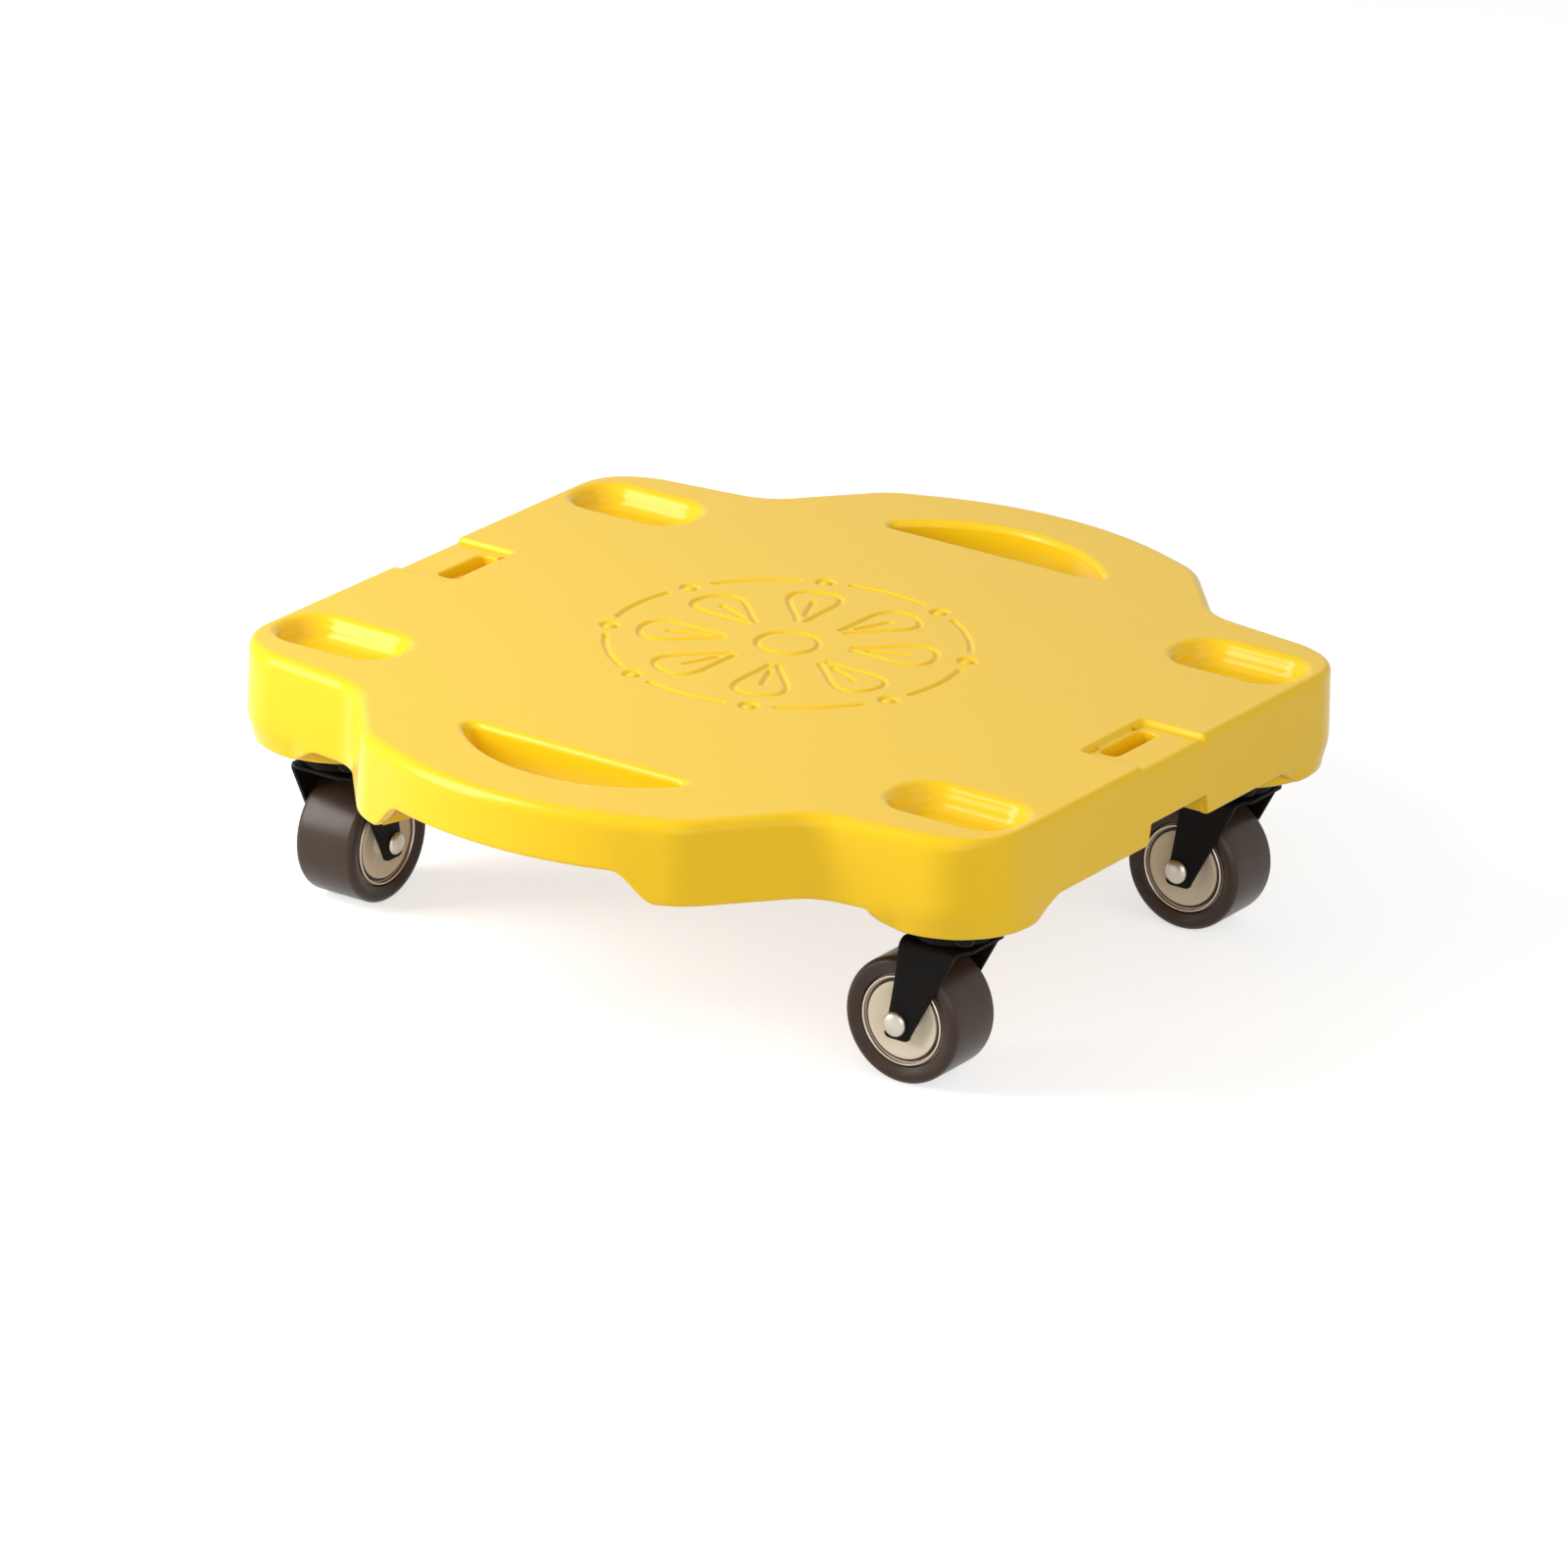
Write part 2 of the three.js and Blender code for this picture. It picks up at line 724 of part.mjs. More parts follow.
function axleNut() {
  const seat = legOuterY + seatGap;
  const inner = seat + nutHeight - axleEndInset + seatGap;
  return onAxle(turned([
    [0, inner],
    [nutBoreRadius, inner],
    [nutBoreRadius, seat],
    [nutRadius, seat],
    [nutRadius, seat + nutHeight - nutCrown],
    [nutRadius - nutCrown, seat + nutHeight],
    [0, seat + nutHeight],
  ], smallTurn));
}

function tyre() {
  const bore = hubRadius + fitGap;
  const face = tyreHalfWidth;
  const edge = wheelRadius - tyreShoulder;
  const upper = bend(edge, face - tyreShoulder, tyreShoulder, Math.PI * half, 0, shoulderSteps);
  const lower = bend(edge, tyreShoulder - face, tyreShoulder, 0, -Math.PI * half, shoulderSteps);
  return onAxle(turned(ringProfile([
    [bore, tyreFaceInset - face],
    [bore, face - tyreFaceInset],
    ...upper,
    ...lower,
  ]), wheelTurn));
}

function trimSeat() {
  return tyreHalfWidth - tyreFaceInset - hubSeatDepth;
}

// The hub is dished on both sides, with a groove inside each trim ring and a collar at the bore.
function hub() {
  const seat = trimSeat();
  const disc = seat + trimThickness - trimProud * half;
  const collar = legInnerY - hubSideClearance;
  const side = [
    [hubRadius, seat],
    [trimInnerRadius - fitGap, seat],
    [trimInnerRadius - fitGap, disc - hubGrooveDepth],
    [grooveInnerRadius, disc - hubGrooveDepth],
    [grooveInnerRadius, disc],
    [hubCollarRadius, disc - hubDishDepth],
    [hubCollarRadius, collar],
    [hubBoreRadius, collar],
  ];
  const other = side.map(([radius, height]) => [radius, -height]).reverse();
  return onAxle(turned(ringProfile([...side, ...other]), hubTurn));
}

function trimRing(side) {
  const seat = trimSeat() + seatGap;
  const top = seat + trimThickness;
  const ring = turned(ringProfile([
    [trimInnerRadius, seat],
    [hubRadius - fitGap, seat],
    [hubRadius - trimProud, top],
    [trimInnerRadius, top],
  ]), ringTurn);
  return onAxle(side > 0 ? moved(ring, new THREE.Matrix4().makeScale(1, 1, -1)) : ring);
}

// Heading is the direction of the fork's front, in quarter turns about Z.
const casters = [
  { tag: 'front_right', sx: 1, sy: -1, heading: 0 },
  { tag: 'back_right', sx: 1, sy: 1, heading: 0 },
  { tag: 'front_left', sx: -1, sy: -1, heading: -1 },
  { tag: 'back_left', sx: -1, sy: 1, heading: 2 },
];

function caster({ tag, sx, sy, heading }) {
  const mount = new THREE.Group();
  mount.position.set(sx * casterX, sy * casterY, 0);
  mount.add(piece(`plate_${tag}`, toGeometry(plate()), steelBlack, 0.5, 0.8));
  mount.add(piece(`race_${tag}`, toGeometry(race()), steelBlack, 0.45, 0.8));
  mount.add(piece(`king_pin_${tag}`, toGeometry(kingPin()), zinc, 0.35, 0.9));
  let number = 0;
  for (const ux of [-1, 1]) {
    for (const uy of [-1, 1]) {
      number += 1;
      const mesh = piece(`screw_${number}_${tag}`, toGeometry(screw()), zinc, 0.35, 0.9);
      mesh.position.set(ux * screwX, uy * screwY, 0);
      mount.add(mesh);
    }
  }
  const swivel = new THREE.Group();
  swivel.rotation.z = heading * Math.PI * half;
  swivel.add(piece(`fork_${tag}`, toGeometry(fork()), steelBlack, 0.5, 0.8));
  swivel.add(piece(`axle_${tag}`, toGeometry(axleBolt()), zinc, 0.3, 0.9));
  swivel.add(piece(`nut_${tag}`, toGeometry(axleNut()), zinc, 0.3, 0.9));
  swivel.add(piece(`tyre_${tag}`, toGeometry(tyre()), tyreBrown, 0.7, 0));
  swivel.add(piece(`hub_${tag}`, toGeometry(hub()), hubCream, 0.5, 0));
  swivel.add(piece(`trim_a_${tag}`, toGeometry(trimRing(-1)), zinc, 0.3, 0.9));
  swivel.add(piece(`trim_b_${tag}`, toGeometry(trimRing(1)), zinc, 0.3, 0.9));
  mount.add(swivel);
  return mount;
}

const board = new THREE.Group();
board.name = 'scooter_board';
board.add(deck());
for (const place of casters) board.add(caster(place));

export default board;
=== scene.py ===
"""Scooter board: a yellow moulded deck on four black swivel casters, in metres, +Z up."""

from __future__ import annotations

import logging
import math
from collections.abc import Callable, Sequence
from dataclasses import dataclass, field
from enum import Enum

import bmesh
import bpy
import numpy as np
from mathutils import Matrix, Vector
from mathutils.geometry import delaunay_2d_cdt


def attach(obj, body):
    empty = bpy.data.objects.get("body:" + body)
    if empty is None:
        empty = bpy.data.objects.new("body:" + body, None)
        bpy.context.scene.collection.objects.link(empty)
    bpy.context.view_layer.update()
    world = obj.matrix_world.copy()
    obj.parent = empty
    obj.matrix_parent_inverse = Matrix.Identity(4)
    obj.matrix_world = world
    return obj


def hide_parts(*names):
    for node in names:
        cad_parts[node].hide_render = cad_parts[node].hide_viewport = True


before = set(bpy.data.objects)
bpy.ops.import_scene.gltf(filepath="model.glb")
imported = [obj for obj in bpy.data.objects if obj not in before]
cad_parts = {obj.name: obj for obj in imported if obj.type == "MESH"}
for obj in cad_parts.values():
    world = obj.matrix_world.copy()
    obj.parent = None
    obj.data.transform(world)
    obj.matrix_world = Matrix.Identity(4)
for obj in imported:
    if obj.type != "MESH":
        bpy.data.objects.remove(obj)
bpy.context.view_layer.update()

LOG = logging.getLogger("scooter_board")
MM = 0.001
PI = math.pi
WHITE = (1.0, 1.0, 1.0, 1.0)
# Millimetres: place of the back right caster's upright axis, and of its screws from that axis.
CASTER_AT = (153.4, 105.0)
SCREW_AT = 15.6
# Millimetres within which a filled face's points are one, metres within which a mesh's are.
FILL_SNAP = 1e-5
MERGE_SNAP = 1e-6
# Degrees above which an edge stays sharp.
SHARP = 38.0

Loop = np.ndarray
Height = float | np.ndarray


class Corner(Enum):
    """The four casters: name, side along X, side along Y and heading in quarter turns."""

    FRONT_RIGHT = ("front_right", 1, -1, 0)
    BACK_RIGHT = ("back_right", 1, 1, 0)
    FRONT_LEFT = ("front_left", -1, -1, -1)
    BACK_LEFT = ("back_left", -1, 1, 2)

    @property
    def tag(self) -> str:
        """Name used by the nodes and bodies of this caster."""
        return self.value[0]

    @property
    def place(self) -> np.ndarray:
        """Place of the caster's upright axis, in millimetres."""
        return np.array(self.value[1:3]) * CASTER_AT

    @property
    def shift(self) -> Matrix:
        """Matrix that moves a piece from the origin to the caster's axis."""
        return Matrix.Translation((*self.place, 0.0))

    @property
    def heading(self) -> float:
        """Turn of the fork about the upright axis, in radians."""
        return self.value[3] * PI / 2


class Slot(Enum):
    """Material slots of the record."""

    DECK = "deck_plastic"
    STEEL = "black_steel"
    ZINC = "zinc"
    TRIM = "trim_metal"
    TYRE = "tyre"
    HUB = "hub_plastic"


def smooth(share: Height) -> Height:
    """Eased step from 0 to 1 as share goes from 0 to 1."""
    held = np.clip(share, 0.0, 1.0)
    return held * held * (3.0 - 2.0 * held)


def arc_points(cx: float, cy: float, radius: float, start: float, end: float, steps: int) -> Loop:
    """Points on an arc.

    Args:
        cx: Centre along the first axis.
        cy: Centre along the second axis.
        radius: Arc radius.
        start: First angle in radians.
        end: Last angle in radians.
        steps: Number of segments.

    Returns:
        An array of steps + 1 points.
    """
    angles = np.linspace(start, end, steps + 1)
    return np.stack([cx + radius * np.cos(angles), cy + radius * np.sin(angles)], axis=1)


def resampled(loop: Loop, spacing: float, closed: bool = True) -> Loop:
    """Even points along a polyline.

    Args:
        loop: Points of the polyline.
        spacing: Wanted distance between neighbours.
        closed: True if the last point joins the first.

    Returns:
        Points at an even distance near the wanted one.
    """
    path = np.vstack([loop, loop[:1]]) if closed else loop
    lengths = np.linalg.norm(np.diff(path, axis=0), axis=1)
    run = np.concatenate([[0.0], np.cumsum(lengths)])
    count = max(int(round(run[-1] / spacing)), 3)
    marks = np.linspace(0.0, run[-1], count + 1)
    if closed:
        marks = marks[:-1]
    return np.stack([np.interp(marks, run, path[:, axis]) for axis in (0, 1)], axis=1)


def circle(radius: float, steps: int) -> Loop:
    """Points of a whole circle about the origin, counter-clockwise."""
    return arc_points(0.0, 0.0, radius, 0.0, 2 * PI, steps)[:-1]


def four_ways(x: float, y: float) -> list[np.ndarray]:
    """The places that a place has on both sides of both axes."""
    return [np.array([sx * x, sy * y]) for sx in (-1, 1) for sy in (-1, 1)]


def eased(radius: float, steps: int, end: float = PI / 2) -> list[tuple[float, float]]:
    """Way over a rounded edge, from just past the upper face.

    Args:
        radius: Radius of the edge.
        steps: Segments on the edge.
        end: Angle at which it stops.

    Returns:
        Distance outwards from the wall and drop below the face, for each point.
    """
    angles = np.linspace(0.0, end, steps + 1)[1:]
    return [(radius * (1 - math.sin(a)), radius * (1 - math.cos(a))) for a in angles]


def grown(loop: Loop, distance: Height) -> Loop:
    """A counter-clockwise loop moved outwards along its normals.

    Args:
        loop: Points of the loop.
        distance: Distance for all points or one for each.

    Returns:
        The moved points.
    """
    along = np.roll(loop, -1, axis=0) - np.roll(loop, 1, axis=0)
    along /= np.linalg.norm(along, axis=1, keepdims=True)
    normal = np.stack([along[:, 1], -along[:, 0]], axis=1)
    return loop + normal * np.reshape(distance, (-1, 1))


def holds(loop: Loop, points: np.ndarray) -> np.ndarray:
    """Which points lie inside a loop, by counting the edges to their right.

    Args:
        loop: Closed loop.
        points: Places to test.

    Returns:
        True for each point inside.
    """
    inside = np.zeros(len(points), bool)
    after = np.roll(loop, -1, axis=0)
    for (x0, y0), (x1, y1) in zip(loop, after, strict=True):
        spans = (y0 > points[:, 1]) != (y1 > points[:, 1])
        rise = y1 - y0 if y1 != y0 else 1e-12
        cross = x0 + (points[:, 1] - y0) * (x1 - x0) / rise
        inside ^= spans & (points[:, 0] < cross)
    return inside


def rounded_polygon(corners: Sequence[tuple[float, float, float]], steps: int = 24) -> Loop:
    """A closed outline whose corners are rounded.

    Args:
        corners: Counter-clockwise corners as x, y and rounding radius.
        steps: Segments on each rounding.

    Returns:
        Points of the outline.
    """
    parts = []
    for index, (x, y, radius) in enumerate(corners):
        here = np.array([x, y])
        inward = np.array(corners[index - 1][:2]) - here
        outward = np.array(corners[(index + 1) % len(corners)][:2]) - here
        inward /= np.linalg.norm(inward)
        outward /= np.linalg.norm(outward)
        half_angle = math.acos(float(np.clip(inward @ outward, -1.0, 1.0))) / 2
        middle = (inward + outward) / np.linalg.norm(inward + outward)
        centre = here + middle * radius / math.sin(half_angle)
        reach = radius / math.tan(half_angle)
        start, end = here + inward * reach - centre, here + outward * reach - centre
        first = math.atan2(start[1], start[0])
        turn = math.atan2(end[1], end[0]) - first
        turn = (turn + PI) % (2 * PI) - PI
        parts.append(arc_points(centre[0], centre[1], radius, first, first + turn, steps))
    return np.vstack(parts)


def rectangle(half_x: float, half_y: float, radius: float, steps: int = 10) -> Loop:
    """A rectangle about the origin with rounded corners.

    Args:
        half_x: Half of its size along X.
        half_y: Half of its size along Y.
        radius: Corner radius.
        steps: Segments on each corner.

    Returns:
        Its points, counter-clockwise.
    """
    signs = ((1, -1), (1, 1), (-1, 1), (-1, -1))
    return rounded_polygon([(sx * half_x, sy * half_y, radius) for sx, sy in signs], steps)


@dataclass
class MeshDraft:
    """Points in millimetres and faces of one piece, before it becomes a Blender mesh."""

    points: list[tuple[float, float, float]] = field(default_factory=list)
    faces: list[tuple[int, ...]] = field(default_factory=list)

    def ring(self, loop: Loop, height: Height) -> list[int]:
        """Add a loop of points.

        Args:
            loop: Points of the loop.
            height: Height of all points or one for each.

        Returns:
            Numbers of the points.
        """
        heights = np.broadcast_to(height, (len(loop),))
        first = len(self.points)
        self.points.extend((float(x), float(y), float(z)) for (x, y), z in zip(loop, heights, strict=True))
        return list(range(first, len(self.points)))

    def strip(self, first: Sequence[int], second: Sequence[int]) -> None:
        """Join two closed rings of equal count by a band of quads.

        Args:
            first: Numbers of one ring.
            second: Numbers of the other ring.
        """
        count = len(first)
        for index in range(count):
            after = (index + 1) % count
            self.faces.append((first[index], first[after], second[after], second[index]))

    def strips(self, rings: Sequence[Sequence[int]]) -> None:
        """Join each ring to the next one."""
        for first, second in zip(rings[:-1], rings[1:], strict=True):
            self.strip(first, second)

    def tube(self, loop: Loop, profile: Sequence[tuple[float, float]]) -> list[list[int]]:
        """Add a wall that follows a loop.

        Args:
            loop: Counter-clockwise loop.
            profile: Distance outside the loop and height of each ring.

        Returns:
            The rings, from the first profile point to the last.
        """
        rings = [self.ring(grown(loop, out), height) for out, height in profile]
        self.strips(rings)
        return rings

    def fill(
        self,
        outer: Sequence[int],
        holes: Sequence[Sequence[int]] = (),
        lines: Sequence[tuple[Sequence[int], bool]] = (),
    ) -> None:
        """Cover the space between an outer ring and its holes with triangles.

        Args:
            outer: Ring round the filled space.
            holes: Rings that stay open.
            lines: Polylines that the triangles follow, each with True if it is closed.
        """
        used = [*outer, *(i for hole in holes for i in hole), *(i for line, _ in lines for i in line)]
        used = list(dict.fromkeys(used))
        place = {number: index for index, number in enumerate(used)}
        flat = [Vector(self.points[number][:2]) for number in used]
        edges = []
        for line, closed in [(outer, True), *((hole, True) for hole in holes), *lines]:
            pairs = zip(line, [*line[1:], line[0]] if closed else line[1:])
            edges.extend((place[a], place[b]) for a, b in pairs)
        verts, _, faces, origins, _, _ = delaunay_2d_cdt(flat, edges, [], 1, FILL_SNAP, True)
        numbers = []
        for vert, origin in zip(verts, origins, strict=True):
            if origin:
                numbers.append(used[origin[0]])
            else:
                numbers.append(len(self.points))
                self.points.append((vert.x, vert.y, self.points[outer[0]][2]))
        spots = np.array([[v.x, v.y] for v in verts])
        centres = np.array([spots[list(face)].mean(axis=0) for face in faces])
        keep = holds(np.array([self.points[i][:2] for i in outer]), centres)
        for hole in holes:
            keep &= ~holds(np.array([self.points[i][:2] for i in hole]), centres)
        kept = [face for face, inside in zip(faces, keep, strict=True) if inside]
        self.faces.extend(tuple(numbers[i] for i in face) for face in kept)

    def prism(self, loop: Loop, low: float, high: float, round_by: float = 0.6) -> None:
        """Add a closed upright solid with eased edges.

        Args:
            loop: Counter-clockwise outline.
            low: Bottom height.
            high: Top height.
            round_by: Size of the eased edges.
        """
        profile = [(-round_by, low), (-round_by * 0.3, low + round_by * 0.3), (0.0, low + round_by)]
        profile += [(0.0, high - round_by), (-round_by * 0.3, high - round_by * 0.3), (-round_by, high)]
        rings = self.tube(loop, profile)
        self.fill(rings[0])
        self.fill(rings[-1])

    def turned(self, profile: Sequence[tuple[float, float]], turn: int, closed: bool = False) -> None:
        """Add a solid turned about Z.

        Args:
            profile: Radius and height of each point; a radius of zero makes a pole.
            turn: Facets in a whole turn.
            closed: True if the last profile point joins the first.
        """
        angles = np.arange(turn) * 2 * PI / turn
        rings: list[list[int]] = []
        for radius, height in profile:
            if radius <= 0.0:
                self.points.append((0.0, 0.0, height))
                rings.append([len(self.points) - 1])
            else:
                around = np.stack([radius * np.cos(angles), radius * np.sin(angles)], axis=1)
                rings.append(self.ring(around, height))
        pairs = list(zip(rings[:-1], rings[1:], strict=True))
        if closed:
            pairs.append((rings[-1], rings[0]))
        for first, second in pairs:
            if len(first) == 1 or len(second) == 1:
                pole, rim = (first[0], second) if len(first) == 1 else (second[0], first)
                self.faces.extend((pole, rim[i], rim[(i + 1) % turn]) for i in range(turn))
            else:
                self.strip(first, second)

    def placed(self, matrix: Matrix) -> "MeshDraft":
        """A copy of the draft moved by a matrix in millimetres."""
        moved = [tuple(matrix @ Vector(point)) for point in self.points]
        return MeshDraft(moved, list(self.faces))

    def join(self, other: "MeshDraft") -> None:
        """Add another draft.

        Args:
            other: Draft whose points and faces are added.
        """
        first = len(self.points)
        self.points.extend(other.points)
        self.faces.extend(tuple(first + i for i in face) for face in other.faces)

    def to_object(self, name: str, material: bpy.types.Material, sharp: float = SHARP) -> bpy.types.Object:
        """Make the Blender object.

        Args:
            name: Object name.
            material: Its material.
            sharp: Angle in degrees above which an edge stays sharp.

        Returns:
            The object at the origin, in metres, with outward faces.
        """
        mesh = new_mesh(name, self.points, faces=self.faces)
        tidy = bmesh.new()
        tidy.from_mesh(mesh)
        bmesh.ops.delete(tidy, geom=[v for v in tidy.verts if not v.link_faces], context="VERTS")
        bmesh.ops.recalc_face_normals(tidy, faces=tidy.faces)
        tidy.to_mesh(mesh)
        tidy.free()
        return finish_mesh(name, mesh, material, sharp)


def lathe(profile: Sequence[tuple[float, float]], turn: int, closed: bool = False) -> MeshDraft:
    """One solid turned about Z.

    Args:
        profile: Radius and height of each point.
        turn: Facets in a whole turn.
        closed: True if the last profile point joins the first.

    Returns:
        A new draft with the solid.
    """
    draft = MeshDraft()
    draft.turned(profile, turn, closed)
    return draft


def new_mesh(
    name: str,
    points: Sequence[Sequence[float]],
    edges: Sequence[tuple[int, int]] = (),
    faces: Sequence[tuple[int, ...]] = (),
) -> bpy.types.Mesh:
    """A mesh in metres from points in millimetres.

    Args:
        name: Mesh name.
        points: Points in millimetres.
        edges: Loose edges.
        faces: Faces.

    Returns:
        The mesh.
    """
    mesh = bpy.data.meshes.new(name)
    mesh.from_pydata([(x * MM, y * MM, z * MM) for x, y, z in points], edges, faces)
    return mesh


def outward(mesh: bpy.types.Mesh) -> bpy.types.Mesh:
    """Merge a mesh's doubles and turn its faces outwards.

    Args:
        mesh: Mesh made by a Geometry Nodes tree.

    Returns:
        The same mesh.
    """
    tidy = bmesh.new()
    tidy.from_mesh(mesh)
    bmesh.ops.remove_doubles(tidy, verts=tidy.verts, dist=MERGE_SNAP)
    bmesh.ops.recalc_face_normals(tidy, faces=tidy.faces)
    tidy.to_mesh(mesh)
    tidy.free()
    return mesh


def finish_mesh(
    name: str, mesh: bpy.types.Mesh, material: bpy.types.Material, sharp: float = SHARP
) -> bpy.types.Object:
    """Link a mesh as an object, shaded smooth between sharp edges.

    Args:
        name: Object name.
        mesh: Finished mesh.
        material: Its material.
        sharp: Angle in degrees above which an edge stays sharp.

    Returns:
        The object at the origin.
    """
    mesh.materials.clear()
    mesh.materials.append(material)
    mesh.shade_smooth()
    mesh.set_sharp_from_angle(angle=math.radians(sharp))
    made = bpy.data.objects.new(name, mesh)
    bpy.context.scene.collection.objects.link(made)
    return made


def hand_over(piece: bpy.types.Object, body: str, nodes: Sequence[str]) -> None:
    """Give a finished piece its body and the nodes it stands for.

    Args:
        piece: The finished object.
        body: Body it moves with.
        nodes: Nodes it replaces, or none for added detail.
    """
    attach(piece, body)
    if nodes:
        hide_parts(*nodes)
    LOG.info("%s: %d faces on %s", piece.name, len(piece.data.polygons), body)


# Node trees


class NodeTree:
    """A node tree with short ways to add and join nodes."""

    def __init__(self, tree: bpy.types.NodeTree) -> None:
        """Keep the tree that the methods work on."""
        self.tree = tree

    def add(
        self, kind: str, feeds: dict[str | int, object] | None = None, **settings: object
    ) -> bpy.types.Node:
        """Add a node.

        Args:
            kind: Node type.
            feeds: Inputs by name or number, each fed by a socket or a value.
            settings: Properties of the node, set before its inputs.

        Returns:
            The node.
        """
        node = self.tree.nodes.new(kind)
        for label, value in settings.items():
            setattr(node, label, value)
        for key, value in (feeds or {}).items():
            if isinstance(value, bpy.types.NodeSocket):
                self.tree.links.new(value, node.inputs[key])
            else:
                node.inputs[key].default_value = value
        return node

    def maths(self, operation: str, *values: bpy.types.NodeSocket | float) -> bpy.types.NodeSocket:
        """Join sockets or numbers by a Math node and return its output."""
        return self.add("ShaderNodeMath", dict(enumerate(values)), operation=operation).outputs[0]

    def mix(
        self,
        share: bpy.types.NodeSocket,
        first: bpy.types.NodeSocket | tuple[float, float, float],
        second: tuple[float, float, float],
    ) -> bpy.types.NodeSocket:
        """Mix two colours.

        Args:
            share: Share of the second colour.
            first: First colour, as a socket or a value.
            second: Second colour.

        Returns:
            The mixed colour.
        """
        start = (*first, 1.0) if isinstance(first, tuple) else first
        feeds = {0: share, 6: start, 7: (*second, 1.0)}
        return self.add("ShaderNodeMix", feeds, data_type="RGBA").outputs[2]

    def noise(
        self, scale: bpy.types.NodeSocket | float, detail: float, roughness: float = 0.5
    ) -> bpy.types.NodeSocket:
        """Add a noise in Object coordinates.

        Args:
            scale: Scale, as a socket or a number.
            detail: Octaves of the noise.
            roughness: Weight of the finer octaves.

        Returns:
            Its value.
        """
        place = self.add("ShaderNodeTexCoord").outputs["Object"]
        feeds = {"Vector": place, "Scale": scale, "Detail": detail, "Roughness": roughness}
        return self.add("ShaderNodeTexNoise", feeds).outputs["Fac"]


class ShaderGroup(NodeTree):
    """A node group that puts out masks and values shared by several finishes."""

    def __init__(self, name: str, inputs: dict[str, float], outputs: Sequence[str]) -> None:
        """Make the group and its sockets.

        Args:
            name: Group name.
            inputs: Named inputs with their default values.
            outputs: Named outputs.
        """
        super().__init__(bpy.data.node_groups.new(name, "ShaderNodeTree"))
        face = self.tree.interface
        for label, value in inputs.items():
            face.new_socket(label, in_out="INPUT", socket_type="NodeSocketFloat").default_value = value
        for label in outputs:
            face.new_socket(label, in_out="OUTPUT", socket_type="NodeSocketFloat")
        self.inputs = self.tree.nodes.new("NodeGroupInput").outputs
        self.outputs = self.tree.nodes.new("NodeGroupOutput").inputs

    def give(self, label: str, value: bpy.types.NodeSocket) -> None:
        """Feed one of the group's outputs."""
        self.tree.links.new(value, self.outputs[label])

    def give_held(self, label: str, value: bpy.types.NodeSocket) -> None:
        """Feed one of the group's outputs with a value held between 0 and 1."""
        self.give(label, self.maths("MAXIMUM", self.maths("MINIMUM", value, 1.0), 0.0))


